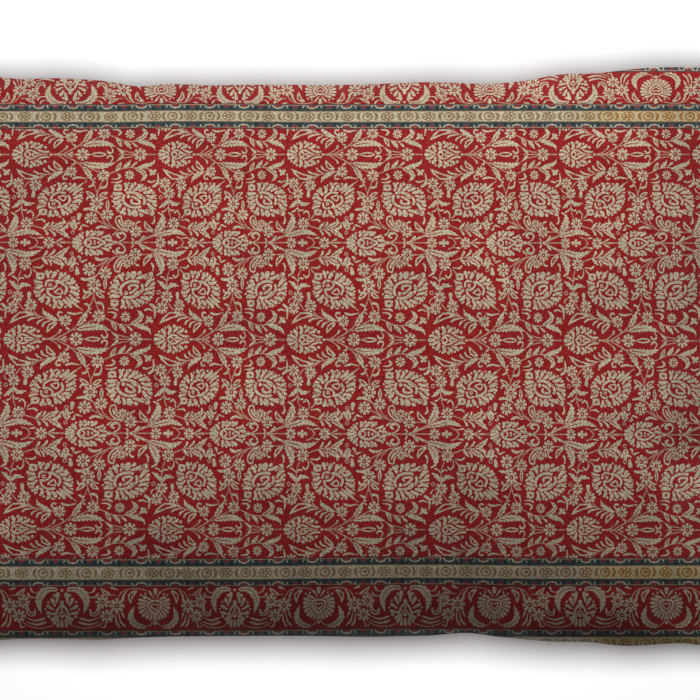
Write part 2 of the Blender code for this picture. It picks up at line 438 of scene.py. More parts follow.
# Between the lines, mirrored above and below
BETWEEN = (
    # the two stems that leave the first line
    (stem, 1.1, ((329, 155.2), (334, 158.0), (337.5, 161.5))),
    (blade, 2.4, ((338.3, 163.6), (336.8, 159.6))),
    (stem, 1.2, ((335, 155.4), (341, 158.3), (346, 161.2), (351, 165), (355, 169.5), (358.5, 174),
        (361.5, 179))),
    (blade, 1.9, ((342.3, 164.6), (345.6, 163.6), (344.8, 160.4))),
    (stem, 1.1, ((350, 162.5), (355, 164.5), (361, 168.5), (367, 171.5), (370, 173.5))),
    # the long leaf beside the lozenge, its curl and the stalk to the second blossom
    (leaf, 7.6, ((353.5, 163.3), (362, 165.2), (373, 165.8), (384, 162.3))),
    (blade, 2.0, ((375.4, 158.6), (377.0, 156.0), (380.2, 156.2), (380.9, 159.2), (378.5, 162.8))),
    (stem, 1.1, ((384, 161.5), (390, 158.5), (396, 157.0), (402, 156.4))),
    (petal, 3.0, ((385.8, 160.2), (391.4, 155.4))),
    # the leaf that hangs on the main stem, and its curl
    (leaf, 6.6, ((353.8, 167.2), (358.0, 172.5), (362.0, 181.0))),
    (blade, 2.4, ((358.8, 186.8), (363.4, 184.8), (362.6, 180.2))),
    (blade, 1.6, ((365.6, 178.0), (362.6, 180.0))),
    (blade, 1.6, ((365.4, 182.4), (362.4, 181.0))),
    (blade, 2.4, ((343.4, 179.0), (349.5, 177.3), (357.5, 178.8))),
    # the spray that runs back under the first palmette
    (rosette, 5.6, (342.2, 171.5)),
    (stem, 1.1, ((340, 172.0), (331, 172.0), (320, 174.5), (311, 177.3), (302, 176.6), (296, 174.5))),
    (open_leaf, 5.2, ((334.2, 169.6), (328.6, 166.0), (325.8, 160.0))),
    (blade, 2.2, ((321.3, 165.4), (323.4, 169.4), (329.0, 171.6))),
    (blade, 2.2, ((316.6, 167.8), (318.6, 171.0), (322.8, 172.8))),
    (blade, 2.2, ((308.0, 170.8), (312.0, 173.6), (319.0, 174.2))),
    (leaf, 5.4, ((334.5, 171.4), (327.5, 175.0), (322.8, 178.4), (321.2, 183.0))),
    (stem, 1.6, ((338.8, 172.4), (335.0, 176.2), (336.0, 179.2), (339.2, 178.4)), PALE),
    (stem, 1.1, ((320, 174.8), (311, 178.6), (303, 182.5), (298.5, 188.5))),
    (stem, 1.0, ((318, 175.6), (313.5, 179.5), (311, 184))),
    (rosette, 5.8, (310.3, 185.3)),
    (open_leaf, 6.2, ((312.5, 177.2), (301.0, 176.4), (290.5, 168.6))),
    (rosette, 5.8, (293.2, 183.3)),
    (rosette, 5.8, (297.6, 193.4)),
    (petal, 3.8, ((308.6, 189.8), (308.2, 198.0))),
    (ring, 2.2, (289.8, 197.4)),
    (blade, 1.5, ((287.4, 188.0), (289.0, 191.6), (291.6, 192.8))),
    # the pair of leaves and the stalk below it
    (stem, 1.1, ((297, 198), (297.4, 206), (298.2, 213), (301, 219))),
    (leaf, 4.8, ((296.4, 200.0), (293.8, 204.2), (288.0, 208.0))),
    (leaf, 4.8, ((297.8, 199.6), (302.4, 204.2), (310.2, 202.8))),
    (blade, 1.8, ((290.8, 211.8), (294.4, 210.6), (297.2, 207.4))),
    (blade, 1.8, ((303.4, 209.6), (299.8, 210.4), (297.4, 207.4))),
    (rosette, 6.0, (303.2, 223.2)),
    (blade, 2.0, ((303.2, 213.4), (306.2, 210.8), (309.2, 214.2), (308.8, 219.5))),
    (blade, 2.1, ((320.2, 222.0), (317.2, 219.4), (310.5, 220.2))),
    # between the two large palmettes
    (rosette, 6.0, (372.6, 175.6)),
    (blade, 2.8, ((369.8, 187.6), (375.4, 186.8), (376.8, 180.6))),
    (stem, 1.1, ((363.5, 183), (365.5, 188), (367.2, 193), (367.4, 200))),
    (stem, 1.1, ((371.8, 181), (369.6, 187), (367.6, 193))),
    (open_leaf, 4.6, ((365.6, 197.6), (360.8, 194.4), (356.6, 190.8))),
    (open_leaf, 4.6, ((369.4, 198.2), (373.0, 194.6), (377.6, 192.2))),
    (blade, 2.0, ((357.6, 200.2), (358.8, 197.2), (362.2, 197.8), (366, 201))),
    (blade, 1.8, ((377.4, 197.6), (373.4, 198.6), (369.6, 202.6))),
    (rosette, 6.6, (367.2, 203.8)),
    (open_leaf, 3.8, ((377.6, 210.0), (377.5, 199.6))),
    (rosette, 6.0, (377.6, 214.4)),
    (blade, 2.8, ((354.8, 209.8), (361.0, 208.8), (368.0, 211.6), (370.8, 214.0))),
    (stem, 1.1, ((370.5, 213.5), (373.5, 219.5), (378, 225), (386, 229.2), (397, 231))),
    (rosette, 6.4, (362.6, 218.2)),
    (stem, 1.1, ((368.5, 220.4), (373, 222.6), (379, 226.6))),
    (stem, 1.0, ((377.8, 219.5), (380, 224), (385.5, 228.4))),
    # the spray to the right, below the second blossom
    (stem, 1.1, ((374, 174.4), (380, 173), (385, 171), (391, 168.2), (398, 167.4), (406, 168.2),
        (414, 168.4), (418, 170))),
    (open_leaf, 4.0, ((384.4, 171.2), (387.0, 166.6), (389.4, 161.8))),
    (leaf, 4.6, ((391.4, 167.8), (395.4, 164.4), (398.2, 160.0))),
    (blade, 2.4, ((404.2, 162.0), (398.6, 167.0))),
    (leaf, 5.0, ((404.5, 168.0), (411.5, 166.0), (419.0, 163.6), (421.6, 158.6))),
    (leaf, 5.6, ((402.5, 168.6), (409.6, 171.6), (412.4, 176.4), (407.6, 181.6))),
    (rosette, 4.8, (397.4, 175.0)),
    (blade, 2.4, ((386.0, 173.6), (388.6, 176.6), (385.6, 179.0), (380.4, 179.2))),
    (blade, 2.2, ((390.4, 180.6), (386.4, 182.6), (380.4, 182.4))),
    (petal, 3.0, ((418.5, 171.8), (416.4, 169.6))),
    (petal, 3.0, ((418.5, 171.6), (423.4, 170.4))),
    (petal, 3.0, ((418.5, 171.8), (418.0, 175.6))),
    (petal, 2.6, ((419.5, 172.2), (422.0, 174.6))),
    (blade, 2.1, ((414.8, 180.8), (418.8, 182.2), (423.6, 180.2))),
    (blade, 3.0, ((419.8, 186.8), (424.2, 183.8), (425.2, 179.0), (424.4, 173.2))),
    # above the second line, to the left
    (stem, 1.2, ((308, 225.2), (314, 227.2), (320, 229.2), (328, 229.6), (336, 231.0))),
    (leaf, 3.6, ((318.8, 228.4), (321.6, 225.4), (324.6, 222.0))),
    (blade, 2.2, ((327.2, 221.4), (326.6, 224.6), (323.6, 227.8))),
    (leaf, 6.0, ((326.0, 229.0), (332.0, 225.4), (337.2, 223.2), (336.4, 218.0))),
    (blade, 2.6, ((322.8, 235.2), (322.0, 232.4), (319.6, 230.0))),
    (blade, 2.6, ((329.8, 236.2), (328.4, 233.0), (324.2, 230.0))),
    (leaf, 5.6, ((330.6, 229.8), (337.0, 233.0), (343.6, 238.6))),
    (leaf, 4.2, ((334.0, 229.4), (339.6, 227.6), (341.0, 222.0))),
    (leaf, 7.6, ((347.0, 229.8), (346.8, 225.0), (346.2, 218.8))),
    (petal, 3.0, ((344.6, 227.0), (342.6, 221.2))),
    (blade, 1.6, ((352.6, 222.2), (349.4, 224.6))),
    (petal, 4.4, ((350.6, 220.4), (351.8, 212.6))),
    (ring, 2.2, (346.0, 218.2)),
    (blade, 2.0, ((354.2, 224.6), (360.6, 226.8))),
    (blade, 2.4, ((351.0, 229.4), (353.8, 228.8), (353.2, 225.6))),
    (ring, 2.0, (345.8, 232.4)),
    # above the second line, to the right
    (stem, 1.5, ((397.6, 231.2), (390.0, 227.8), (385.8, 222.0), (386.6, 216.8), (390.6, 215.8)), PALE),
    (stem, 1.4, ((390.6, 215.8), (391.4, 220.0), (394.2, 225.4), (400.0, 230.6)), PALE),
    (blade, 2.4, ((388.6, 219.4), (390.4, 224.0), (397.0, 230.0))),
    (blade, 2.8, ((367.2, 228.8), (372.6, 226.4), (380.0, 228.6))),
    (rosette, 4.4, (397.6, 223.6)),
    (petal, 2.4, ((402.0, 226.4), (403.0, 221.8))),
    (blade, 2.1, ((409.4, 221.6), (406.2, 222.4), (403.8, 226.4))),
    (rosette, 6.0, (405.4, 231.4)),
    (open_leaf, 5.0, ((421.6, 230.8), (415.6, 226.6), (413.4, 220.6))),
    (blade, 2.3, ((420.4, 223.8), (422.8, 221.0), (422.4, 215.4))),
    (leaf, 8.8, ((424.0, 232.4), (428.6, 226.4), (430.8, 220.4), (430.4, 213.4))),
    (blade, 2.0, ((425.8, 212.4), (430.2, 215.4), (432.0, 219.0))),
    (stem, 1.0, ((411, 231.6), (419, 231.6), (424, 233))),
    (stem, 1.1, ((436.5, 225.6), (429, 230.8), (424, 233.8), (418.4, 236.4), (413, 239.4), (406, 241.6))),
    (leaf, 7.0, ((423.6, 235.8), (432.6, 233.4), (444.0, 231.4), (456.6, 235.6))),
    (blade, 2.2, ((419.0, 236.6), (412.6, 239.2))),
    (blade, 2.6, ((413.8, 235.8), (408.4, 241.2))),
    (stem, 1.1, ((408, 242.6), (414, 245.6), (424, 249.4))),
    (blade, 2.0, ((336.8, 238.4), (330.6, 241.6))),
    (blade, 2.0, ((401.2, 237.8), (403.4, 240.4), (401.2, 242.2))),
    (blade, 2.6, ((390.8, 237.8), (387.8, 236.2), (388.8, 233.6), (392.8, 232.8), (395.6, 235.6),
        (393.6, 239.6), (388.4, 242.2))),
    (blade, 1.8, ((383.4, 235.2), (388.2, 230.8))),
    (stem, 1.3, ((306.5, 236.6), (311.6, 238.4), (314.6, 242.4))),
    (blade, 1.8, ((319.6, 237.4), (313.0, 238.2))),
)


# The palmette on the first line, its upper half
SMALL_FAN = (
    (plume, 2.3, ((286.6, 150.8), (289.6, 150.4), (292.8, 151.8), (296.4, 154.0))),
    (dot, 1.4, (290.8, 147.6)),
    (plume, 2.9, ((292.8, 145.2), (295.6, 148.2), (296.6, 152.0))),
    (dot, 1.3, (296.6, 143.8)),
    (plume, 3.1, ((298.8, 142.0), (301.2, 144.4), (301.3, 147.4), (299.2, 149.6))),
    (dot, 1.9, (305.2, 142.6)),
    (plume, 2.7, ((308.8, 142.6), (307.6, 145.4), (304.4, 147.8))),
    (dot, 1.4, (311.6, 143.8)),
    (plume, 2.5, ((315.4, 144.4), (313.4, 146.9), (308.2, 148.6))),
    (dot, 1.7, (318.0, 147.4)),
    (plume, 1.9, ((321.8, 151.6), (316.6, 152.0), (310.6, 149.6))),
    (stem, 1.8, ((298.8, 154.3), (300.4, 151.6), (303.6, 150.2), (307.2, 151.0), (310.4, 153.2),
        (314.0, 154.2)), PALE),
    (stem, 1.5, ((300.8, 151.8), (303.4, 152.9), (304.2, 154.6)), PALE),
    (stem, 1.4, ((309.0, 153.3), (306.4, 153.4), (306.1, 154.6)), PALE),
)
SMALL_MIDDLE = (
    (stem, 1.2, ((311.0, 154.5), (320.0, 154.5))),
    (dot, 1.6, (299.3, 154.5)),
    (dot, 0.7, (299.3, 154.5), RED),
    (dot, 1.5, (323.0, 154.5)),
    (petal, 4.0, ((292.8, 154.5), (285.2, 154.5))),
)
# The palmette on the second line, its upper half
SECOND_FAN = (
    (plume, 2.6, ((346.0, 239.2), (349.2, 238.7), (352.2, 239.9), (354.6, 241.8))),
    (plume, 2.0, ((349.0, 236.2), (352.2, 237.9))),
    (plume, 2.7, ((351.4, 234.2), (354.2, 236.2), (355.8, 239.0))),
    (dot, 1.3, (355.2, 232.8)),
    (plume, 2.9, ((358.6, 231.0), (360.1, 233.4), (358.6, 236.6))),
    (plume, 2.2, ((364.2, 230.2), (362.2, 232.6))),
    (plume, 2.8, ((367.8, 231.2), (365.8, 233.7), (362.2, 236.0))),
    (plume, 2.2, ((370.8, 231.0), (368.8, 232.9))),
    (plume, 2.5, ((374.4, 231.4), (372.0, 233.9), (368.4, 235.6))),
    (plume, 2.1, ((380.6, 234.4), (377.4, 236.7), (372.8, 237.5))),
    (dot, 1.5, (381.4, 237.6)),
    (plume, 2.3, ((383.6, 240.5), (380.0, 240.4), (376.2, 239.2))),
    (stem, 2.0, ((357.8, 240.6), (360.6, 238.4), (366.0, 237.7), (370.2, 238.6), (373.4, 240.8),
        (377.0, 241.9)), PALE),
    (stem, 1.6, ((359.8, 239.4), (362.7, 240.7), (363.6, 242.5)), PALE),
    (dot, 1.2, (366.6, 241.3)),
)
SECOND_MIDDLE = (
    (stem, 1.2, ((336.0, 242.4), (346.0, 242.4))),
    (petal, 4.0, ((352.6, 242.4), (345.2, 242.4))),
    (dot, 2.2, (357.8, 242.4)),
    (dot, 1.4, (370.2, 242.4)),
    (petal, 2.8, ((383.0, 242.4), (388.6, 242.4))),
)
# The large palmettes, each whole
LARGE_WITH_RING = (
    (dot, 1.3, (327.7, 185.4)),
    (plume, 3.2, ((330.0, 182.8), (332.7, 185.0), (332.5, 188.2), (330.0, 191.0))),
    (plume, 1.5, ((334.0, 184.8), (336.2, 183.0), (338.9, 184.0))),
    (plume, 3.0, ((338.9, 184.8), (337.2, 187.4), (334.8, 190.4))),
    (dot, 1.3, (341.8, 183.9)),
    (plume, 3.2, ((346.4, 183.0), (345.8, 185.8), (342.8, 187.8), (339.0, 190.5))),
    (plume, 2.1, ((353.6, 183.4), (350.2, 186.5), (345.6, 189.6), (341.4, 192.9))),
    (stem, 1.1, ((357.6, 180.8), (353.4, 183.8))),
    (plume, 2.6, ((354.2, 188.4), (350.2, 189.8), (347.4, 191.8), (344.8, 195.4))),
    (plume, 1.9, ((354.2, 192.0), (351.0, 193.7))),
    (plume, 3.0, ((353.6, 195.2), (349.8, 196.2), (345.2, 198.5))),
    (dot, 1.2, (353.3, 198.5)),
    (plume, 2.8, ((353.6, 201.8), (350.6, 200.5), (347.4, 201.2), (344.6, 202.6))),
    (dot, 1.3, (351.0, 203.8)),
    (plume, 2.8, ((350.2, 207.6), (347.4, 205.8), (344.0, 205.3), (341.4, 206.4))),
    (plume, 2.6, ((347.6, 210.4), (347.0, 208.9), (345.0, 208.0))),
    (plume, 3.2, ((343.8, 213.0), (342.6, 209.9), (337.6, 207.3))),
    (plume, 2.2, ((341.0, 215.2), (338.8, 211.2))),
    (plume, 3.0, ((336.8, 215.4), (336.4, 211.6), (334.6, 209.0))),
    (dot, 1.4, (333.4, 216.5)),
    (plume, 3.2, ((330.8, 216.2), (330.6, 213.2), (328.2, 210.0))),
    (plume, 2.2, ((326.4, 216.6), (328.0, 214.4))),
    (plume, 2.8, ((322.6, 217.0), (324.6, 213.8), (324.8, 210.2))),
    (plume, 2.3, ((312.2, 208.6), (314.6, 206.8), (320.0, 206.0))),
    (stem, 1.2, ((312.6, 204.6), (316.0, 203.8), (320.0, 204.8))),
    (plume, 2.9, ((313.4, 201.4), (316.8, 201.5), (320.6, 203.6))),
    (plume, 2.7, ((313.0, 199.2), (314.0, 196.6), (318.0, 197.2), (321.8, 200.6))),
    (plume, 2.1, ((314.2, 194.8), (316.6, 193.7), (318.8, 194.9))),
    (plume, 2.9, ((316.6, 190.6), (320.6, 191.8), (322.8, 195.6))),
    (plume, 2.1, ((319.0, 188.2), (322.0, 189.6))),
    (plume, 2.7, ((324.0, 186.0), (326.3, 189.0), (326.1, 191.8), (323.8, 193.3))),
    # the heart of it: a broken ring, a curl in it and a loop
    (stem, 2.1, ((324.5, 201.0), (325.2, 196.6), (328.8, 193.4), (333.0, 192.2), (338.0, 193.2)), PALE),
    (stem, 2.3, ((340.2, 195.2), (342.2, 199.0), (341.6, 202.4), (338.0, 205.2), (334.0, 207.4),
        (331.2, 206.6)), PALE),
    (stem, 1.9, ((324.6, 200.4), (328.6, 200.2), (332.4, 202.6), (334.0, 206.8)), PALE),
    (stem, 1.9, ((322.9, 202.4), (323.2, 206.4), (326.4, 208.4), (330.0, 207.4)), PALE),
    (dot, 2.0, (327.2, 203.8)),
    (dot, 0.8, (327.2, 203.8), RED),
    (stem, 1.4, ((330.9, 197.2), (333.8, 196.0), (337.6, 195.6), (338.4, 197.8)), PALE),
    (stem, 1.4, ((338.4, 197.8), (336.6, 200.9), (333.4, 199.3), (330.9, 197.2)), PALE),
    (stem, 1.5, ((314.4, 214.8), (310.8, 218.4))),
)
LARGE_WITH_SEED = (
    (plume, 3.0, ((392.8, 182.8), (395.1, 185.4), (394.9, 188.4), (393.4, 191.0))),
    (dot, 1.4, (396.8, 183.2)),
    (plume, 2.8, ((400.2, 182.8), (400.7, 186.0), (398.8, 188.6), (397.6, 191.0))),
    (plume, 2.6, ((402.2, 182.6), (404.2, 185.0))),
    (plume, 3.1, ((406.9, 183.8), (407.4, 186.4), (405.2, 188.3), (401.4, 190.8))),
    (plume, 2.1, ((410.3, 184.0), (408.9, 187.4))),
    (dot, 1.2, (413.2, 186.4)),
    (plume, 2.8, ((414.8, 187.7), (411.2, 189.2), (407.0, 191.0))),
    (dot, 1.1, (416.8, 188.0)),
    (plume, 3.0, ((420.0, 189.6), (417.0, 191.8), (411.2, 192.9))),
    (plume, 2.1, ((422.2, 191.8), (419.4, 194.0))),
    (plume, 2.6, ((423.8, 195.0), (421.0, 196.9), (418.0, 197.0), (413.8, 195.2))),
    (dot, 1.2, (423.5, 198.7)),
    (plume, 2.8, ((424.4, 201.2), (421.0, 201.7), (417.6, 200.4), (414.8, 199.2))),
    (plume, 2.6, ((424.4, 206.4), (422.6, 204.5), (420.2, 203.4))),
    (plume, 3.2, ((423.8, 209.8), (419.8, 208.5), (417.8, 206.0), (415.4, 202.6))),
    (plume, 4.8, ((422.6, 213.0), (417.6, 213.2))),
    (plume, 2.1, ((418.8, 212.8), (414.6, 209.2))),
    (plume, 2.8, ((416.8, 213.6), (413.8, 211.8), (410.4, 210.6), (406.4, 209.8))),
    (plume, 2.8, ((411.4, 216.0), (407.8, 213.4))),
    (plume, 4.6, ((403.4, 216.4), (404.0, 213.2), (402.6, 209.6))),
    (plume, 3.0, ((397.8, 215.6), (399.3, 212.8), (397.0, 208.8))),
    (plume, 2.3, ((392.6, 214.8), (395.6, 212.6))),
    (plume, 3.2, ((389.2, 212.8), (392.6, 211.2), (393.8, 207.2))),
    (dot, 1.5, (387.6, 210.7)),
    (plume, 3.0, ((385.2, 208.6), (388.6, 206.8), (390.8, 203.4))),
    (dot, 1.3, (383.4, 206.1)),
    (plume, 3.4, ((383.6, 203.8), (387.4, 202.5), (389.8, 199.4))),
    (plume, 2.0, ((381.4, 200.4), (384.4, 201.9))),
    (plume, 2.4, ((382.4, 198.4), (386.6, 198.0), (390.2, 196.0))),
    (dot, 1.2, (381.2, 196.0)),
    (plume, 3.0, ((382.0, 192.6), (384.4, 194.2), (387.2, 193.5), (391.4, 193.4))),
    # the heart of it: a thick broken ring round a curled seed
    (stem, 2.5, ((394.6, 192.9), (399.4, 192.3), (405.4, 193.6), (409.4, 195.8), (412.5, 199.2),
        (412.8, 202.4), (411.6, 204.7)), PALE),
    (plume, 2.6, ((409.6, 198.2), (407.4, 196.4), (404.6, 194.4))),
    (stem, 2.5, ((393.4, 194.6), (392.0, 197.6), (392.5, 201.8), (395.8, 205.3), (400.6, 207.2),
        (405.6, 207.5), (409.6, 206.5)), PALE),
    (plume, 3.4, ((395.8, 196.4), (399.0, 196.6))),
    (stem, 2.2, ((400.2, 196.4), (402.8, 197.4), (405.6, 199.2), (407.8, 201.6), (407.8, 203.4),
        (404.8, 204.0), (401.6, 203.4), (399.6, 201.8), (401.0, 199.6)), PALE),
)


# The square bud at the stalk of each large palmette: its outline round its middle, half the
# size of its eye, and where it is. Columns: x, y, tilt of the eye
BUD_OUTLINE = ((-4.0, -2.4), (-0.6, -3.6), (3.4, -2.6), (3.7, 2.6), (-0.6, 3.2), (-4.0, 2.8))
BUD_EYE = (1.7, 1.0)
BUDS = ((318.0, 212.0, -30), (386.9, 187.6, 30))

FIELD_TOP = 128.6
FIELD_BOTTOM = 557.2
FIELD_MARGIN = 8         # a mark is laid if it comes this close to the field
LEAST_CORNER = 0.26      # a point that stands out less than this is left out of its outline


def thin_out(outline):
    """The outline without the points that stand out least from it."""
    points = list(outline)
    while len(points) > 4:
        neighbours = zip(points[-1:] + points, points, points[1:] + points[:1])
        heights = [stands_out(point, before, after) for before, point, after in neighbours]
        lowest = min(heights)
        if lowest > LEAST_CORNER:
            break
        points.pop(heights.index(lowest))
    return points


def drawn(rows):
    """The marks of a table's rows."""
    marks = []
    for draw, size, where, *colour in rows:
        draw(marks, size, where, *colour)
    return [(colour, thin_out(outline)) for colour, outline in marks]


def palmette(half, middle, line):
    """A palmette on a line across the cloth: a half of it, the same mirrored, and its middle."""
    upper = drawn(half)
    lower = [(colour, [(x, 2 * line - y) for x, y in outline]) for colour, outline in upper]
    return upper + lower + drawn(middle)


def seat(column, row):
    """Chart place of a point at that many repeats across and mirror lines down."""
    j = max(0, min(len(SEAT_ROWS) - 2, math.floor(row)))
    t = row - j
    i = max(0, min(len(SEAT_COLUMNS[0]) - 2, math.floor(column)))
    s = column - i
    upper = part_way(SEAT_COLUMNS[j][i], SEAT_COLUMNS[j][i + 1], s)
    lower = part_way(SEAT_COLUMNS[j + 1][i], SEAT_COLUMNS[j + 1][i + 1], s)
    x = part_way(upper, lower, t) + BULGE_ACROSS[i] * 4 * s * (1 - s)
    slope = part_way(ROW_SLOPES[j], ROW_SLOPES[j + 1], t)
    y = part_way(SEAT_ROWS[j], SEAT_ROWS[j + 1], t) + BULGE_DOWN[j] * 4 * t * (1 - t)
    return x, y + slope * (x - CHART_MIDDLE[0])


def lay(marks, part, column, row):
    """Lay one charted part at a repeat; even rows run down from a first line, odd rows up."""
    line, down = (row, 1) if row % 2 == 0 else (row + 1, -1)
    for colour, outline in part:
        placed = []
        for x, y in outline:
            across = (x - REPEAT_AT[0]) / REPEAT_WIDTH
            fall = (y - REPEAT_AT[1]) / REPEAT_DROP
            placed.append(seat(column + across, line + down * fall))
        if any(FIELD_TOP - FIELD_MARGIN < y < FIELD_BOTTOM + FIELD_MARGIN for _, y in placed):
            marks.append((colour, placed))


def field_marks():
    """Every mark of the field, in chart steps."""
    first_line = REPEAT_AT[1]
    on_lines = (drawn(FIRST_LINE) + palmette(SMALL_FAN, SMALL_MIDDLE, first_line),
                drawn(SECOND_LINE) + palmette(SECOND_FAN, SECOND_MIDDLE, first_line + REPEAT_DROP))
    between = drawn(BETWEEN + LARGE_WITH_RING + LARGE_WITH_SEED)
    for x, y, tilt in BUDS:
        between.append((PALE, [(x + dx, y + dy) for dx, dy in BUD_OUTLINE]))
        oval(between, RED, (x, y), *BUD_EYE, tilt=tilt, corners=6)
    marks = []
    for row in range(len(SEAT_ROWS) - 1):
        for column in range(len(SEAT_COLUMNS[0]) - 1):
            lay(marks, between, column, row)
            lay(marks, on_lines[row % 2], column, row)
    return marks


# The red border along each long edge. Half of its repeat is charted, from the fan palmette
# at BORDER_AT to the pointed palmette BORDER_RUN further on; both are mirror lines
BORDER_AT = (318.5, 587.2)
BORDER_RUN = 86.5
NEAR_SEATS = (-199.0, -111.0, -27.0, 62.0, 155.4, 234.6, 318.8, 405.3, 494.4, 580.2, 666.6, 753.0, 840.0)
FAR_SEATS = (-191.0, -103.0, -15.0, 70.4, 161.5, 240.0, 320.3, 404.5, 489.8, 573.3, 655.9, 740.0, 826.0)
BORDER_HALF = (
    # the fan palmette
    (petal, 3.1, ((322.6, 598.4), (330.6, 595.4))),
    (dot, 1.2, (327.6, 592.8)),
    (dot, 1.2, (331.8, 594.0)),
    (petal, 3.1, ((325.4, 600.6), (334.6, 598.4))),
    (petal, 3.1, ((326.8, 602.6), (335.4, 603.0))),
    (petal, 3.1, ((327.0, 604.8), (335.0, 607.6))),
    (petal, 3.1, ((326.4, 607.2), (333.6, 612.2))),
    (petal, 3.1, ((325.0, 609.4), (331.0, 616.0))),
    (petal, 3.1, ((323.4, 611.2), (327.4, 618.2))),
    (petal, 2.5, ((321.4, 612.6), (323.6, 620.0))),
    (petal, 2.2, ((319.4, 614.0), (319.8, 620.0))),
    (blade, 2.2, ((324.8, 589.8), (319.6, 597.4))),
    (petal, 4.6, ((318.5, 594.0), (318.5, 586.9))),
    (stem, 2.2, ((318.5, 600.0), (323.0, 600.2), (325.4, 604.2), (323.0, 609.4), (318.5, 613.6)), PALE),
    (stem, 1.5, ((318.5, 604.4), (321.2, 603.0), (322.4, 605.6), (318.5, 609.6)), PALE),
    (dot, 1.8, (318.5, 622.4)),
    (open_leaf, 5.2, ((335.6, 590.0), (341.4, 594.8), (341.2, 603.2))),
    (leaf, 7.4, ((327.0, 626.2), (336.4, 624.0), (341.4, 616.4), (338.0, 605.0))),
    (stem, 1.1, ((319.4, 619.0), (323.4, 624.4), (330.0, 626.6))),
    (blade, 2.6, ((348.4, 600.6), (348.2, 594.8), (344.4, 589.0))),
    (stem, 1.2, ((326.0, 589.6), (333.0, 587.9), (343.0, 588.2), (350.0, 591.6), (353.6, 598.0))),
    # the cluster of blossoms
    (rosette, 7.6, (354.2, 604.8)),
    (rosette, 6.8, (367.4, 601.0)),
    (rosette, 6.8, (363.4, 615.2)),
    (blade, 2.2, ((349.6, 611.4), (347.0, 617.6))),
    (blade, 2.2, ((346.2, 625.6), (350.8, 620.6), (352.6, 612.6))),
    (blade, 2.2, ((351.2, 626.4), (354.8, 620.8), (355.4, 612.2))),
    (open_leaf, 4.2, ((360.0, 593.6), (365.0, 592.0), (369.4, 586.8))),
    (blade, 2.4, ((359.8, 586.6), (353.4, 589.0))),
    (blade, 2.0, ((374.2, 586.4), (376.2, 590.8), (380.4, 592.6))),
    (blade, 2.0, ((371.6, 591.8), (374.0, 596.0), (380.2, 597.0))),
    (stem, 1.2, ((355.0, 594.0), (361.0, 594.6), (368.0, 593.6), (373.0, 598.0))),
    (open_leaf, 4.4, ((370.6, 604.8), (372.6, 612.2), (377.6, 613.6), (379.2, 607.4))),
    (blade, 2.4, ((388.8, 617.0), (379.4, 619.8), (370.6, 616.6))),
    (blade, 2.4, ((389.8, 621.0), (380.4, 623.8), (370.2, 620.8))),
    (stem, 1.2, ((367.0, 622.0), (374.0, 625.6), (385.0, 627.4), (396.0, 624.4))),
    (blade, 1.8, ((364.4, 621.6), (365.4, 626.6), (369.6, 625.4))),
    # the pointed palmette
    (leaf, 8.6, ((400.6, 589.4), (393.0, 588.0), (385.0, 592.4), (382.2, 602.0), (385.2, 613.0))),
    (leaf, 3.6, ((392.0, 589.4), (388.6, 592.6), (386.8, 597.8))),
    (petal, 4.0, ((399.6, 602.4), (401.4, 590.8))),
    (dot, 1.7, (397.8, 594.6)),
    (petal, 3.6, ((398.4, 605.4), (394.4, 596.8))),
    (dot, 1.2, (391.6, 601.4)),
    (petal, 3.4, ((397.4, 609.0), (389.6, 604.2))),
    (dot, 1.1, (389.0, 608.4)),
    (petal, 3.4, ((398.0, 613.4), (389.2, 611.4))),
    (dot, 1.7, (392.2, 615.6)),
    (petal, 4.4, ((400.4, 615.4), (394.4, 620.0))),
    (petal, 3.0, ((402.0, 618.4), (400.6, 626.8))),
    (petal, 3.0, ((400.6, 617.6), (396.4, 624.0))),
    (petal, 3.4, ((405.0, 619.0), (405.0, 627.2))),
    (petal, 3.8, ((405.0, 606.8), (405.0, 599.4))),
    (stem, 2.2, ((404.6, 603.6), (400.8, 608.4), (398.8, 615.0), (401.6, 616.6)), PALE),
    (stem, 1.4, ((405.0, 610.4), (402.6, 613.0), (400.8, 616.6)), PALE),
    (dot, 1.2, (405.0, 608.4)),
    (dot, 1.9, (405.0, 615.4)),
    (dot, 1.5, (405.0, 589.4)),
)


# The bands: where they end, and the steps in which their sides follow the crown
BAND_ENDS = (-112.0, 752.0)
STRIP_STEP = 9.0
# How far the bands hang below their straight lines. Columns: place along them, drop
FAR_SAG = ((-112.0, 0.2), (60.0, 0.2), (110.0, 0.5), (165.0, -0.5), (230.0, -0.4), (300.0, 0.3),
           (400.0, 0.1), (560.0, -0.2), (752.0, 0.1))
NEAR_SAG = ((-112.0, 1.0), (150.0, 1.0), (260.0, 0.6), (320.0, -0.2), (400.0, -0.9), (460.0, -0.8),
            (530.0, 0.2), (752.0, 0.0))
# The red borders. Columns: top and bottom of the red, the line next to the inner guard, the
# height in charted heights, and 1 when it runs down from that line or -1 when up
FAR_BORDER = (71.5, 104.0, 103.8, 0.77, -1)
NEAR_BORDER = (585.8, 629.0, 587.2, 1.0, 1)
# The narrow bands, in the order in which they are laid. Columns: kind, and the two lines it
# lies between, a guard's first line being the one on its red side
FAR_BANDS = (("guard", 72.0, 64.8), ("guard", 103.8, 111.0), ("guard", 128.8, 122.0),
             ("gold", 50.0, 64.6), ("gold", 111.1, 121.8))
NEAR_BANDS = (("guard", 557.6, 565.4), ("guard", 586.0, 579.0), ("guard", 629.0, 636.6),
              ("gold", 565.6, 578.8), ("guard", 658.0, 650.8), ("gold", 636.8, 650.6))
NEAR_GOLD_SHIFT = -3.0

# A blue guard, in steps inward from its red side
GUARD_SEAT = 346.5       # one of its cups
GUARD_RUN = 34.2         # from cup to cup
GUARD_LINE = (0.9, 1.6)  # its pale line
GUARD_HANGS = 1.5        # where its cups hang from
GUARD_RIM = 0.4          # the dark line on its gold side
GUARD_SPARE = 2.6        # what is taken from its width for the depth of its motifs
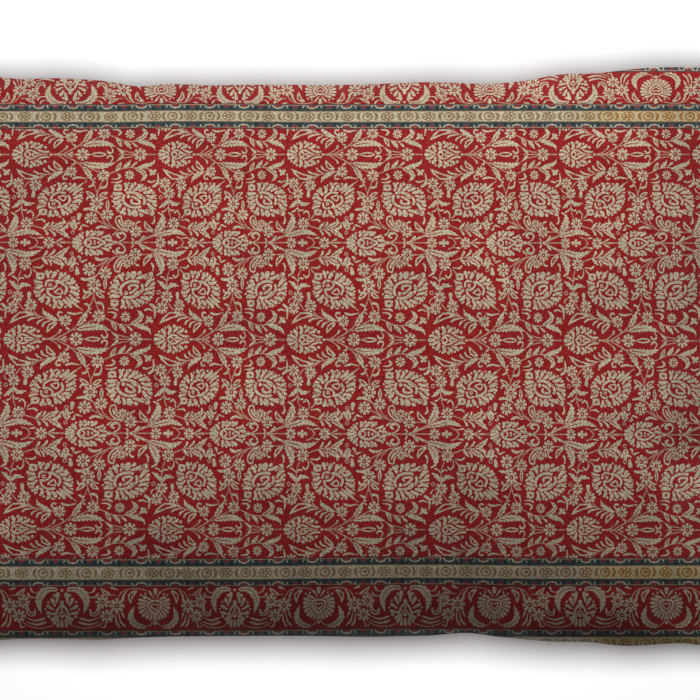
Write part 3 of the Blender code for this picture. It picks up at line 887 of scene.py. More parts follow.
# Columns: colour, half width, how far over the line it starts, share of the depth, corners
GUARD_CUPS = ((PALE, 6.2, 0.0, 0.78, 4), (TEAL, 4.9, 0.3, 0.58, 4), (ROSE, 3.0, 0.5, 0.66, 3))
GUARD_BUD = (ROSE, 2.9, 0.0, 0.64, 3)
# On either side of a cup and of a bud. Columns: how far out, share of the depth
GUARD_TICK = ((8.0, 0.0), (9.6, 0.55))
GUARD_DENT = ((2.6, 1.0), (4.6, 0.0), (6.8, 1.0))

# A gold band: where its blossoms are, with a curl halfway between two of them
GOLD_SEATS = (-106.0, -63.0, -19.0, 24.5, 68.0, 111.0, 154.6, 190.6, 228.8, 268.5, 308.2, 347.8, 387.5,
              429.0, 469.0, 509.0, 549.0, 588.5, 628.0, 669.0, 711.0, 752.0)
GOLD_HEIGHT = 11.0       # height of the band that the sizes below are for
GOLD_MOST = 1.1          # how much larger than that they may be drawn
GOLD_RIM = (0.3, -0.4)   # how far over its lines its dark ground and its pale ground reach
GOLD_PETALS = 7
# Half widths and half heights of a blossom, of the ring of its petals, of a petal and an eye
BLOSSOM = (7.0, 4.7)
BLOSSOM_RING = (4.5, 3.0)
BLOSSOM_PETAL = (1.6, 1.15)
BLOSSOM_EYE = (1.5, 1.1)
# Columns: colour, place across and down, half width, half height, corners
CURL = ((OCHRE, 0.0, 0.0, 5.6, 4.6, 9), (GOLD, -0.3, 0.2, 4.0, 3.2, 7), (OCHRE, 0.3, -0.3, 2.3, 1.8, 5))
CRESCENT_AT = 9.4        # from the middle of a curl, on either side
CRESCENT_HEIGHT = 4.7
# Columns: how far out, share of its height
CRESCENT = ((-3.0, -1.0), (0.5, -0.62), (1.4, 0.0), (0.5, 0.62), (-3.0, 1.0), (-1.3, 0.0))


def strip(marks, colour, top, bottom):
    left, right = BAND_ENDS
    count = round((right - left) / STRIP_STEP)
    xs = [left + (right - left) * i / count for i in range(count + 1)]
    marks.append((colour, [(x, top) for x in xs] + [(x, bottom) for x in xs[::-1]]))


def border_marks(seats, edge, size, down):
    """One border; seats are its palmettes, edge is its line next to the inner guard."""
    half = drawn(BORDER_HALF)
    marks = []
    for k, (here, there) in enumerate(zip(seats, seats[1:])):
        start, end = (here, there) if k % 2 == 0 else (there, here)
        for colour, outline in half:
            placed = [(start + (x - BORDER_AT[0]) / BORDER_RUN * (end - start),
                       edge + down * size * (y - BORDER_AT[1])) for x, y in outline]
            marks.append((colour, placed))
    return marks


def cup(marks, x, line, down, deep, shape):
    """A half oval hung from a line."""
    colour, half_width, over, share, corners = shape
    outline = [(x + half_width * math.cos(math.pi * i / corners),
                line - down * over + deep * share * math.sin(math.pi * i / corners))
               for i in range(corners + 1)]
    marks.append((colour, outline))


def guard_marks(marks, red_side, gold_side):
    """A blue guard: its pale line on the red side, outlined cups with red in them hung from
    the line, and a red bud halfway."""
    down = 1 if gold_side > red_side else -1
    deep = down * (abs(gold_side - red_side) - GUARD_SPARE)
    strip(marks, NIGHT, red_side, gold_side)
    strip(marks, STEM, red_side + down * GUARD_LINE[0], red_side + down * GUARD_LINE[1])
    strip(marks, TEAL, red_side + down * GUARD_LINE[1], gold_side - down * GUARD_RIM)
    line = red_side + down * GUARD_HANGS
    first = GUARD_SEAT - GUARD_RUN * int((GUARD_SEAT - BAND_ENDS[0]) / GUARD_RUN)
    for k in range(int((BAND_ENDS[1] - first) / GUARD_RUN) + 1):
        x = first + k * GUARD_RUN
        middle = x + GUARD_RUN / 2
        for shape in GUARD_CUPS:
            cup(marks, x, line, down, deep, shape)
        cup(marks, middle, line, down, deep, GUARD_BUD)
        for side in (-1, 1):
            stem(marks, 1.0, [(x + side * out, line + deep * share) for out, share in GUARD_TICK], PALE)
            marks.append((NIGHT, [(middle + side * out, line + deep * share) for out, share in GUARD_DENT]))


def gold_marks(marks, top, bottom, shift):
    """The gold band: pale-petalled blossoms, a curl halfway, and a crescent either side."""
    for colour, over in zip((OCHRE, GOLD), GOLD_RIM):
        strip(marks, colour, top - over, bottom + over)
    y = (top + bottom) / 2
    size = min((bottom - top) / GOLD_HEIGHT, GOLD_MOST)
    for here, there in zip(GOLD_SEATS, GOLD_SEATS[1:]):
        x = here + shift
        oval(marks, OCHRE, (x, y), BLOSSOM[0], BLOSSOM[1] * size, corners=10)
        for i in range(GOLD_PETALS):
            a = 2 * math.pi * i / GOLD_PETALS
            at = (x + BLOSSOM_RING[0] * math.cos(a), y + BLOSSOM_RING[1] * size * math.sin(a))
            oval(marks, GOLD, at, BLOSSOM_PETAL[0], BLOSSOM_PETAL[1] * size, corners=4)
        oval(marks, GOLD, (x, y), BLOSSOM_EYE[0], BLOSSOM_EYE[1] * size, corners=4)
        middle = (here + there) / 2 + shift
        for colour, across, lower, half_width, half_height, corners in CURL:
            oval(marks, colour, (middle + across, y + lower), half_width, half_height * size, corners=corners)
        for side in (-1, 1):
            at = middle + side * CRESCENT_AT
            tall = CRESCENT_HEIGHT * size
            marks.append((OCHRE, [(at + side * out, y + tall * share) for out, share in CRESCENT]))


def sag(marks, drops):
    """The same marks, hung as a set of bands is."""
    xs = [x for x, _ in drops]
    hung = []
    for colour, outline in marks:
        lower = []
        for x, y in outline:
            i, share = place(xs, x)
            lower.append((x, y + drops[i][1] + (drops[i + 1][1] - drops[i][1]) * share))
        hung.append((colour, lower))
    return hung


def edge_marks(seats, border, bands, shift, drops):
    """Every mark along one long edge."""
    top, bottom, *rest = border
    marks = []
    strip(marks, RED, top, bottom)
    marks += border_marks(seats, *rest)
    for kind, first, second in bands:
        if kind == "guard":
            guard_marks(marks, first, second)
        else:
            gold_marks(marks, first, second, shift)
    return sag(marks, drops)


def all_marks():
    return (field_marks() + edge_marks(FAR_SEATS, FAR_BORDER, FAR_BANDS, 0.0, FAR_SAG)
            + edge_marks(NEAR_SEATS, NEAR_BORDER, NEAR_BANDS, NEAR_GOLD_SHIFT, NEAR_SAG))


# The shape of the cover, over u and v from -1 to 1, as arrays
def seam_wave(edge, along):
    """How far the seam stands out, and how deep its pucker is, at places along an edge."""
    out = np.zeros_like(along)
    pucker = np.zeros_like(along)
    for row_edge, at, half_width, row_out, depth in SEAM_WAVES:
        if row_edge == edge:
            share = np.exp(-0.5 * ((along - at) / half_width) ** 2)
            out += row_out * share
            pucker += depth * share
    return out, pucker


def edge_waves(u, v):
    """Waves of the left or right edge, and of the near or far one, whichever is closer."""
    across = v * WIDTH / 2
    along = u * LENGTH / 2
    right, left = seam_wave("right", across), seam_wave("left", across)
    far, near = seam_wave("far", along), seam_wave("near", along)
    out_x, pucker_x = (np.where(u > 0, a, b) for a, b in zip(right, left))
    out_y, pucker_y = (np.where(v > 0, a, b) for a, b in zip(far, near))
    return out_x, pucker_x, out_y, pucker_y


def half_sizes(u, v):
    """Half the cover's length and width through a place, and how far the ear is cut back."""
    out_x, _, out_y, _ = edge_waves(u, v)
    half_x = LENGTH / 2 - DRAW_IN_SHORT_EDGES * (1 - np.abs(v) ** DRAW_IN_POWER) + out_x
    half_y = WIDTH / 2 - DRAW_IN_LONG_EDGES * (1 - np.abs(u) ** DRAW_IN_POWER) + out_y
    return half_x, half_y, EAR_ROUND * np.abs(u * v) ** EAR_SHARPNESS


def plan_of(u, v):
    """Where a place on the cover is, seen from above."""
    half_x, half_y, ear = half_sizes(u, v)
    return u * half_x - np.sign(u) * ear, v * half_y - np.sign(v) * ear


def place_of(x, y, rounds=40):
    """The place on the cover that is at x and y, seen from above."""
    u = np.clip(x / (LENGTH / 2), -1, 1)
    v = np.clip(y / (WIDTH / 2), -1, 1)
    for _ in range(rounds):
        half_x, half_y, ear = half_sizes(u, v)
        u = np.clip((x + np.sign(u) * ear) / half_x, -1, 1)
        v = np.clip((y + np.sign(v) * ear) / half_y, -1, 1)
    return u, v


def inward_of(u, v):
    """How far inside the short edges, and inside the long ones, a place is."""
    return (1 - np.abs(u)) * LENGTH / 2, (1 - np.abs(v)) * WIDTH / 2


def dip(inward, reach):
    """Nothing on the seam, deepest at its reach, then fading."""
    distance = inward / reach
    return distance * np.exp(1 - distance)


def seam_at(u, v):
    """Height of the seam, carried on under the whole cover."""
    x, y = u * LENGTH / 2, v * WIDTH / 2
    ripple = np.zeros_like(u)
    for near, along in ((v, x), (u, y)):
        wave = sum(high * np.sin(2 * math.pi * along / size + phase + np.sign(near))
                   for size, high, phase in SEAM_RIPPLES)
        ripple = ripple + wave * np.abs(near) ** RIPPLE_POWER * (1 - (u * v) ** STILL_EAR_POWER)
    return SEAM_HEIGHT - EAR_DROP * (u * v) ** EAR_DROP_POWER + ripple


def gather_of(u, v, side):
    """How much the gathers take from the crown at a place on the face or the back."""
    x, y = u * LENGTH / 2, v * WIDTH / 2
    from_short, from_long = inward_of(u, v)
    depth = np.zeros_like(u)
    for inward, along, turn in ((from_long, x, 0.0), (from_short, y, SHORT_EDGE_PHASE)):
        wave = sum(deep * np.sin(2 * math.pi * along / size + phase + turn + side + np.sign(u + v))
                   for size, deep, phase in GATHERS)
        depth += wave * dip(inward, GATHER_REACH)
    return depth


def crown_of(u, v, side):
    """Rise of the face above the seam, or drop of the back below it."""
    _, pucker_x, _, pucker_y = edge_waves(u, v)
    from_short, from_long = inward_of(u, v)
    fullness = (1 - np.abs(u) ** CROWN_POWER_LENGTH) * (1 - np.abs(v) ** CROWN_POWER_WIDTH)
    crown = (CROWN_FRONT if side > 0 else CROWN_BACK) * np.maximum(fullness, 0.0) ** CROWN_ROUNDNESS
    pucker = pucker_y * dip(from_long, PUCKER_REACH) + pucker_x * dip(from_short, PUCKER_REACH)
    crown -= np.minimum(pucker, PUCKER_LIMIT * crown)
    return np.maximum(crown - gather_of(u, v, side), LEAST_CROWN * crown)


def close_up(t, reach=0.90 * math.pi / 2):
    """Turn even places from -1 to 1 into ones that are closer near the seam."""
    return np.sin(t * reach) / math.sin(reach)


# Wrinkles: how far the cloth moves up or down when it is blown up with a little too much of it
ON_SEAM = 0.99999        # from this place outward, a point of the grid is on the seam


def sim_grid():
    return close_up(np.linspace(-1, 1, SIM_COLUMNS)), close_up(np.linspace(-1, 1, SIM_ROWS))


def make_sim_cover():
    """A plain cover, its panels joined at the seam. Returns it with its points on the seam,
    those of each panel's grid, and how high these start."""
    u, v = np.meshgrid(*sim_grid())
    x, y = plan_of(u, v)
    on_seam = (np.abs(u) > ON_SEAM) | (np.abs(v) > ON_SEAM)
    seam = seam_at(u, v)
    heights = [seam + crown_of(u, v, 1), seam - crown_of(u, v, -1)]
    index = np.zeros((2, SIM_ROWS, SIM_COLUMNS), dtype=int)
    coords = []
    for panel in (0, 1):
        for j, i in np.ndindex(SIM_ROWS, SIM_COLUMNS):
            if panel == 1 and on_seam[j, i]:
                index[1, j, i] = index[0, j, i]
                continue
            index[panel, j, i] = len(coords)
            coords.append((x[j, i], y[j, i], heights[panel][j, i]))
    faces = []
    for panel, grid in enumerate(index):
        for j, i in np.ndindex(SIM_ROWS - 1, SIM_COLUMNS - 1):
            quad = [int(k) for k in (grid[j, i], grid[j, i + 1], grid[j + 1, i + 1], grid[j + 1, i])]
            faces.append(quad if panel == 0 else quad[::-1])
    mesh = bpy.data.meshes.new("cover_sim")
    mesh.from_pydata(coords, [], faces)
    cover = bpy.data.objects.new("cover_sim", mesh)
    bpy.context.scene.collection.objects.link(cover)
    return cover, index[0][on_seam], index, heights


def simulate_cover():
    """Blow up a plain cover, held at its seam, and return how far each panel moves."""
    cover, on_seam, index, heights = make_sim_cover()
    pins = cover.vertex_groups.new(name=SIM_CLOTH["vertex_group_mass"])
    pins.add([int(k) for k in on_seam], 1.0, "REPLACE")
    cloth = cover.modifiers.new("cloth", "CLOTH")
    for name, value in SIM_CLOTH.items():
        setattr(cloth.settings, name, value)
    cloth.settings.effector_weights.gravity = 0.0
    cloth.point_cache.frame_start = 1
    cloth.point_cache.frame_end = SIM_FRAMES
    scene = bpy.context.scene
    for step in range(1, SIM_FRAMES + 1):
        scene.frame_set(step)
    blown_up = cover.evaluated_get(bpy.context.evaluated_depsgraph_get()).to_mesh()
    coords = np.empty(len(blown_up.vertices) * 3)
    blown_up.vertices.foreach_get("co", coords)
    after = coords.reshape(-1, 3)[:, 2]
    bpy.data.objects.remove(cover, do_unlink=True)
    scene.frame_set(1)
    return [after[grid] - height for grid, height in zip(index, heights)]


def smooth_grid(grid, times):
    for _ in range(times):
        padded = np.pad(grid, 1, mode="edge")
        grid = (padded[1:-1, 1:-1] * 4 + padded[:-2, 1:-1] + padded[2:, 1:-1]
                + padded[1:-1, :-2] + padded[1:-1, 2:]) / 8
    return grid


def make_wrinkles():
    """Wrinkle heights of the face and the back over the simulation's grid."""
    wrinkles = []
    for move in simulate_cover():
        detail = smooth_grid(move - smooth_grid(move, BROAD_SMOOTHING), FINE_SMOOTHING)
        wrinkles.append(WRINKLE_LIMIT * np.tanh(detail / WRINKLE_LIMIT))
    return wrinkles


def sample_grid(grid, u, v):
    """Value of a grid over the simulation's places, between its points."""
    gu, gv = sim_grid()
    i = np.clip(np.searchsorted(gu, u) - 1, 0, SIM_COLUMNS - 2)
    j = np.clip(np.searchsorted(gv, v) - 1, 0, SIM_ROWS - 2)
    s = (u - gu[i]) / (gu[i + 1] - gu[i])
    t = (v - gv[j]) / (gv[j + 1] - gv[j])
    low = grid[j, i] * (1 - s) + grid[j, i + 1] * s
    high = grid[j + 1, i] * (1 - s) + grid[j + 1, i + 1] * s
    return low * (1 - t) + high * t


WRINKLES = make_wrinkles()


def height_of(u, v, side):
    """Height of the cover's face or back at a place."""
    from_seam = np.minimum(*inward_of(u, v))
    fade = 1 - np.exp(-from_seam / WRINKLE_FADE)
    pinch = np.clip(from_seam / PINCH_REACH, 0.0, 1.0) ** PINCH_POWER
    crown = crown_of(u, v, side)
    if side > 0:
        return seam_at(u, v) + pinch * (crown + fade * sample_grid(WRINKLES[0], u, v))
    height = seam_at(u, v) - pinch * (crown - fade * sample_grid(WRINKLES[1], u, v))
    return np.where(height > LIES_FLAT_BELOW, height, 0.0)


# Between the flat chart and the crowned face. The chart is what the eye above the pillow
# sees, so a point that stands nearer to it lies closer to the aim than its chart place
def chart_of(x, y, height):
    nearer = 1 - (height - SEAM_HEIGHT) / CAMERA_DISTANCE
    seen_x = CAMERA_AIM[0] + (x - CAMERA_AIM[0]) / nearer
    seen_y = CAMERA_AIM[1] + (y - CAMERA_AIM[1]) / nearer
    return CHART_MIDDLE[0] + seen_x / STEP, CHART_MIDDLE[1] - seen_y / STEP


def lift_chart(px, py, rounds=5):
    """Places on the cover, and x, y and height, of chart points on its face."""
    seen_x = (px - CHART_MIDDLE[0]) * STEP
    seen_y = (CHART_MIDDLE[1] - py) * STEP
    height = np.full_like(seen_x, SEAM_HEIGHT)
    for _ in range(rounds):
        nearer = 1 - (height - SEAM_HEIGHT) / CAMERA_DISTANCE
        x = CAMERA_AIM[0] + (seen_x - CAMERA_AIM[0]) * nearer
        y = CAMERA_AIM[1] + (seen_y - CAMERA_AIM[1]) * nearer
        u, v = place_of(x, y)
        height = height_of(u, v, 1)
    return u, v, x, y, height


# Rows of points that follow the seam, and the grid inside them, for the face and the back.
# Columns: how far inside the seam the rows are, their spacing, the grid's spacing
FACE_POINTS = ((0.0007, 0.0017, 0.0032, 0.0054, 0.0086, 0.0128), 0.0046, 0.0068)
BACK_POINTS = ((0.0008, 0.0022, 0.0048, 0.0092), 0.0062, 0.0096)
RIM_SPACING = 0.0046
GRID_STARTS = 0.7        # spacings from the innermost row to the grid

# How the print is cut, in chart steps
CUT_TOLERANCE = 1e-6     # points closer than this are one, in the first cut
SNAP = 0.08              # and in the second, so that no sliver is left
JOIN_WITHIN = 0.12       # a point of a line that stands out less than this is taken out
JOIN_UP_TO = STRIP_STEP + 0.5   # unless the line that joins its neighbours gets longer than this
LEAST_CLEAR = 3.4        # squares of this size that hold a point of a line take none of the grid


def rim_places(inset, spacing):
    """Places along a loop at a distance inside the seam, in order, none twice."""
    top = 1 - inset / (WIDTH / 2)
    end = 1 - inset / (LENGTH / 2)
    across = end * close_up(np.linspace(-1, 1, int(LENGTH / spacing), endpoint=False))
    down = top * close_up(np.linspace(-1, 1, int(WIDTH / spacing), endpoint=False))
    u = np.concatenate([across, np.full_like(down, end), -across, np.full_like(down, -end)])
    v = np.concatenate([np.full_like(across, top), -down, np.full_like(across, -top), down])
    return u, v


def inner_places(insets, along, apart):
    """Places that carry the shape: rows along the seam and a grid inside them."""
    rows = [rim_places(inset, along) for inset in insets]
    last = insets[-1] + apart * GRID_STARTS
    us = np.linspace(-1 + last / (LENGTH / 2), 1 - last / (LENGTH / 2), int(LENGTH / apart))
    vs = np.linspace(-1 + last / (WIDTH / 2), 1 - last / (WIDTH / 2), int(WIDTH / apart))
    uu, vv = np.meshgrid(us, vs)
    u = np.concatenate([row[0] for row in rows] + [uu.ravel()])
    v = np.concatenate([row[1] for row in rows] + [vv.ravel()])
    return u, v


def counter_clockwise(outline):
    area = sum(ax * by - bx * ay for (ax, ay), (bx, by) in sides(outline))
    return outline if area > 0 else outline[::-1]


def cut_areas(outline, marks):
    """Cut the marks into triangles, later marks over earlier ones. Returns the points, the
    triangles and each triangle's colour, None outside the outline."""
    points = []
    faces = []
    for polygon in [outline] + [polygon for _, polygon in marks]:
        first = len(points)
        points.extend(counter_clockwise(polygon))
        # each is filled from its first side, so that has to be one where no stroke crosses itself
        run = list(range(first, len(points)))
        faces.append(run[len(run) // 4:] + run[:len(run) // 4])
    vectors = [Vector(point) for point in points]
    verts, _, triangles, _, _, sources = delaunay_2d_cdt(vectors, [], faces, 0, CUT_TOLERANCE, True)
    colours = []
    for source in sources:
        if 0 not in source:
            colours.append(None)
        else:
            top = max(source)
            colours.append(marks[top - 1][0] if top else RED)
    return [tuple(vert) for vert in verts], triangles, colours


def lines_of(triangles, colours):
    """The lines between two colours, both ways round, each with the colour to its left."""
    left_of = {}
    for triangle, colour in zip(triangles, colours):
        for side in sides(triangle):
            left_of[side] = colour
    beside = {}
    for (a, b), colour in left_of.items():
        other = left_of.get((b, a))
        if colour != other:
            beside[a, b] = colour
            beside[b, a] = other
    return beside


def join_lines(points, beside):
    """Take out each point that a line only passes through."""
    linked = {}
    for a, b in beside:
        linked.setdefault(a, set()).add(b)
    for i in sorted(linked):
        if len(linked[i]) != 2:
            continue
        a, b = sorted(linked[i])
        length = math.hypot(points[b][0] - points[a][0], points[b][1] - points[a][1])
        if b in linked[a] or not 0 < length < JOIN_UP_TO:
            continue
        if stands_out(points[i], points[a], points[b]) > JOIN_WITHIN:
            continue
        beside[a, b] = beside.pop((a, i))
        beside[b, a] = beside.pop((b, i))
        del beside[i, a], beside[i, b]
        linked[a] = linked[a] - {i} | {b}
        linked[b] = linked[b] - {i} | {a}
        linked[i] = set()


def cut_along(points, beside, extra):
    """Cut again along the lines alone, with the extra points that are clear of every line.
    Returns the points, the triangles, and the new lines with the colour to their left."""
    lines = [(a, b) for a, b in beside if a < b]
    used = sorted({i for line in lines for i in line})
    renumber = {old: new for new, old in enumerate(used)}
    kept = [points[i] for i in used]
    squares = {(x // LEAST_CLEAR, y // LEAST_CLEAR) for x, y in kept}
    kept += [(x, y) for x, y in extra if (x // LEAST_CLEAR, y // LEAST_CLEAR) not in squares]
    edges = [(renumber[a], renumber[b]) for a, b in lines]
    vectors = [Vector(point) for point in kept]
    verts, cut_edges, triangles, _, sources, _ = delaunay_2d_cdt(vectors, edges, [], 0, SNAP, True)
    cut_beside = {}
    for (p, q), source in zip(cut_edges, sources):
        if source:
            a, b = lines[source[0]]
            step = verts[q] - verts[p]
            if step[0] * (points[b][0] - points[a][0]) + step[1] * (points[b][1] - points[a][1]) < 0:
                a, b = b, a
            cut_beside[p, q] = beside[a, b]
            cut_beside[q, p] = beside[b, a]
    return [tuple(vert) for vert in verts], triangles, cut_beside


def spread_colours(triangles, beside):
    """The colour of each triangle: known next to a line, and spread from there."""
    neighbours = {}
    known = {}
    for k, triangle in enumerate(triangles):
        for side in sides(triangle):
            if side in beside:
                known[k] = beside[side]
            else:
                neighbours.setdefault((min(side), max(side)), []).append(k)
    joined = {}
    for pair in neighbours.values():
        if len(pair) == 2:
            joined.setdefault(pair[0], []).append(pair[1])
            joined.setdefault(pair[1], []).append(pair[0])
    front = list(known)
    while front:
        k = front.pop()
        for other in joined.get(k, ()):
            if other not in known:
                known[other] = known[k]
                front.append(other)
    return [known.get(k) for k in range(len(triangles))]


def rim_loop(triangles):
    """The boundary of some triangles as one closed run of points."""
    directed = {side for triangle in triangles for side in sides(triangle)}
    after = {a: b for a, b in directed if (b, a) not in directed}
    start = next(iter(after))
    loop = [start]
    while after[loop[-1]] != start:
        loop.append(after[loop[-1]])
    return loop


def chart_points(u, v, height):
    px, py = chart_of(*plan_of(u, v), height)
    return list(zip(px.tolist(), py.tolist()))


def reaches_into(polygon, low, high):
    """Whether a mark's box overlaps another box."""
    xs, ys = zip(*polygon)
    return max(xs) > low[0] and min(xs) < high[0] and max(ys) > low[1] and min(ys) < high[1]


def make_face():
    """The printed face, on the chart. Returns its points, triangles and colours."""
    u, v = rim_places(0.0, RIM_SPACING)
    outline = chart_points(u, v, seam_at(u, v))
    u, v = inner_places(*FACE_POINTS)
    extra = chart_points(u, v, height_of(u, v, 1))
    low, high = np.min(outline, axis=0), np.max(outline, axis=0)
    marks = [(colour, polygon) for colour, polygon in all_marks() if reaches_into(polygon, low, high)]
    points, triangles, colours = cut_areas(outline, marks)
    beside = lines_of(triangles, colours)
    join_lines(points, beside)
    points, triangles, beside = cut_along(points, beside, extra)
    colours = spread_colours(triangles, beside)
    inside = [(t, c) for t, c in zip(triangles, colours) if c is not None]
    used = sorted({i for t, _ in inside for i in t})
    renumber = {old: new for new, old in enumerate(used)}
    # y runs down in the chart, so the order of each triangle is turned round
    triangles = [[renumber[i] for i in t][::-1] for t, _ in inside]
    return np.array([points[i] for i in used]), triangles, [c for _, c in inside]


def make_back(rim_x, rim_y):
    """The back inside the rim, seen from above. Returns its points and triangles, and each
    point's number in what was cut, where the rim comes first, or -1 if it is new."""
    x, y = plan_of(*inner_places(*BACK_POINTS))
    millimetres = 1000.0
    points = [(a * millimetres, b * millimetres)
              for a, b in list(zip(rim_x, rim_y)) + list(zip(x, y))]
    verts, _, triangles, sources, _, owners = delaunay_2d_cdt(
        [Vector(p) for p in points], [], [list(range(len(rim_x)))], 0, CUT_TOLERANCE, True)
    triangles = [t for t, owner in zip(triangles, owners) if owner]
    origin = [source[0] if source else -1 for source in sources]
    return np.array([tuple(vert) for vert in verts]) / millimetres, triangles, origin


def middle_of_plan():
    """Middle of the cover's outline, seen from above."""
    x, y = plan_of(*rim_places(0.0, RIM_SPACING))
    return (x.min() + x.max()) / 2, (y.min() + y.max()) / 2


def make_cover():
    """One closed mesh: the printed face, the plain back, and the seam they share."""
    chart, face_triangles, face_colours = make_face()
    u, v, x, y, z = lift_chart(chart[:, 0], chart[:, 1])
    rim = rim_loop(face_triangles)
    z[rim] = seam_at(u[rim], v[rim])
    back_plan, back_triangles, origin = make_back(x[rim], y[rim])
    back_z = height_of(*place_of(back_plan[:, 0], back_plan[:, 1]), -1)
    number = {}
    added = []
    for k in sorted({i for t in back_triangles for i in t}):
        if 0 <= origin[k] < len(rim):
            number[k] = rim[origin[k]]
        else:
            number[k] = len(x) + len(added)
            added.append(k)
    face_coords = np.column_stack([x, y, z])
    back_coords = np.column_stack([back_plan[added], back_z[added]])
    coords = np.vstack([face_coords, back_coords])
    coords[:, :2] -= middle_of_plan()
    faces = face_triangles + [[number[i] for i in t][::-1] for t in back_triangles]
    colours = face_colours + [BACK] * len(back_triangles)

    mesh = bpy.data.meshes.new("cover")
    mesh.from_pydata(coords.tolist(), [], faces)
    mesh.polygons.foreach_set("material_index", colours)
    mesh.shade_smooth()
    seam = {(min(side), max(side)) for side in sides(rim)}
    for edge in mesh.edges:
        edge.use_edge_sharp = (min(edge.vertices), max(edge.vertices)) in seam
    lay_bake_map(mesh, colours)
    cover = bpy.data.objects.new("cover", mesh)
    bpy.context.scene.collection.objects.link(cover)
    return cover


MAP_MARGIN = 0.006       # round the two parts of the bake map, in its widths


def lay_bake_map(mesh, colours):
    """The face laid flat over the width of the map, and the back smaller above it."""
    coords = np.empty(len(mesh.vertices) * 3)
    mesh.vertices.foreach_get("co", coords)
    coords = coords.reshape(-1, 3)
    low = coords.min(axis=0)
    size = coords.max(axis=0) - low
    corners = np.empty(len(mesh.loops), dtype=int)
    mesh.loops.foreach_get("vertex_index", corners)
    totals = np.empty(len(mesh.polygons), dtype=int)
    mesh.polygons.foreach_get("loop_total", totals)
    is_back = np.repeat(np.array(colours) == BACK, totals)
    across = (coords[corners, 0] - low[0]) / size[0]
    up = (coords[corners, 1] - low[1]) / size[1]
    ratio = size[1] / size[0]
    wide = 1 - 2 * MAP_MARGIN
    face_map = np.column_stack([MAP_MARGIN + across * wide, MAP_MARGIN + up * wide * ratio])
    room = 1 - wide * ratio - 3 * MAP_MARGIN
    back_map = np.column_stack([MAP_MARGIN + (1 - across) * room / ratio,
                                1 - MAP_MARGIN - (1 - up) * room])
    layer = mesh.uv_layers.new(name="OFBake")
    layer.data.foreach_set("uv", np.where(is_back[:, None], back_map, face_map).ravel())


# Materials, by the colours of the print. Columns: name and colour
COLOURS = {
    RED: ("ground_red", (149, 22, 27)),
    PALE: ("pale_flax", (196, 188, 161)),
    STEM: ("rose_flax", (182, 149, 128)),
    ROSE: ("rose_red", (146, 56, 56)),
    TEAL: ("teal", (50, 68, 72)),
    NIGHT: ("night_blue", (40, 44, 50)),
    GOLD: ("pale_gold", (193, 182, 156)),
    OCHRE: ("ochre", (138, 108, 72)),
    BACK: ("back_red", (118, 28, 31)),
}
# Two of them turn to another colour at the right end of the cloth
RIGHT_COLOURS = {GOLD: (188, 173, 135), OCHRE: (150, 98, 32)}
# Threads of another colour show through here and there. Columns: their colour, their most share
SHOWS = {RED: (PALE, 0.05), PALE: (RED, 0.34), STEM: (RED, 0.30), ROSE: (RED, 0.20), TEAL: (PALE, 0.08),
         NIGHT: (PALE, 0.05), GOLD: (OCHRE, 0.30), OCHRE: (GOLD, 0.20), BACK: (RED, 0.20)}
# Where the colours turn, and painted shade, which darkens the cloth's colour towards its far
# edge and towards its near edge. Columns: axis, where it starts and ends, and the factor there
TURNS = ("X", 0.150, 0.176, 0.0, 1.0)
PAINTED_SHADE_ALONG_Y = (("Y", -0.040, 0.165, 0.98, 0.76), ("Y", -0.130, -0.085, 0.87, 1.0))
PAINTED_SHADE_DIAGONAL = 3.5          # painted light and shade, lighter towards two opposite corners: the factor for a unit of x times y
# Unevenness of the cloth. Columns: scale, detail, the lowest and highest value it is turned
# into, and how much is cut off at either end of the noise
FLECK = (1500.0, 2.0, 0.58, 1.42, 0.38)
WEAR = (34.0, 4.0, 0.90, 1.08, 0.30)
ROUGHNESS = (220.0, 2.0, 0.84, 0.97, 0.30)
FOLDS = (46.0, 3.0, 0.0, 1.0, 0.30)
SHOW_SCALE = 1700.0
SHOW_DETAIL = 2.0
SHOW_CUT = 0.36
SHOW_NONE = -0.6         # the least share, in parts of the most: less than none, so few show
# The weave: the pitch of its threads, and how dark and light they are. At a scale of one a
# wave texture's bands are BANDS_AT_ONE apart
THREAD = 0.00125
THREAD_WANDER = {"Distortion": 0.6, "Detail": 1.0, "Detail Scale": 1.5}
THREAD_SHADES = (0.92, 1.04)
BANDS_AT_ONE = math.pi / 10
# Columns: strength and depth
THREAD_BUMP = (0.35, 0.00022)
FOLD_BUMP = (0.5, 0.0009)
FINISH = {"Specular IOR Level": 0.12, "Sheen Weight": 0.06, "Sheen Roughness": 0.5}


def linear(rgb):
    """A colour of a picture, from 0 to 255, as the renderer takes it."""
    parts = [value / 255 for value in rgb]
    return [part / 12.92 if part <= 0.04045 else ((part + 0.055) / 1.055) ** 2.4 for part in parts]


def fill_inputs(tree, node, inputs):
    """Set each input to its value, or link it to the socket that is given."""
    for name, value in inputs.items():
        if isinstance(value, bpy.types.NodeSocket):
            tree.links.new(value, node.inputs[name])
        else:
            node.inputs[name].default_value = value


def add_node(tree, kind, inputs, **settings):
    node = tree.nodes.new("ShaderNode" + kind)
    for name, value in settings.items():
        setattr(node, name, value)
    fill_inputs(tree, node, inputs)
    return node


def spread(tree, value, start, end, low, high):
    """A value turned into one that runs from low to high as it runs from start to end."""
    inputs = {"Value": value, "From Min": start, "From Max": end, "To Min": low, "To Max": high}
    return add_node(tree, "MapRange", inputs).outputs["Result"]


def noise(tree, at, scale, detail, low, high, cut):
    texture = add_node(tree, "TexNoise", {"Vector": at, "Scale": scale, "Detail": detail})
    return spread(tree, texture.outputs["Fac"], cut, 1 - cut, low, high)


def threads(tree, at, direction):
    """Threads side by side, as a height from 0 to 1."""
    inputs = {"Vector": at, "Scale": BANDS_AT_ONE / THREAD, **THREAD_WANDER}
    texture = add_node(tree, "TexWave", inputs, wave_type="BANDS", bands_direction=direction)
    return texture.outputs["Fac"]


def combine(tree, operation, a, b):
    return add_node(tree, "Math", {0: a, 1: b}, operation=operation).outputs["Value"]


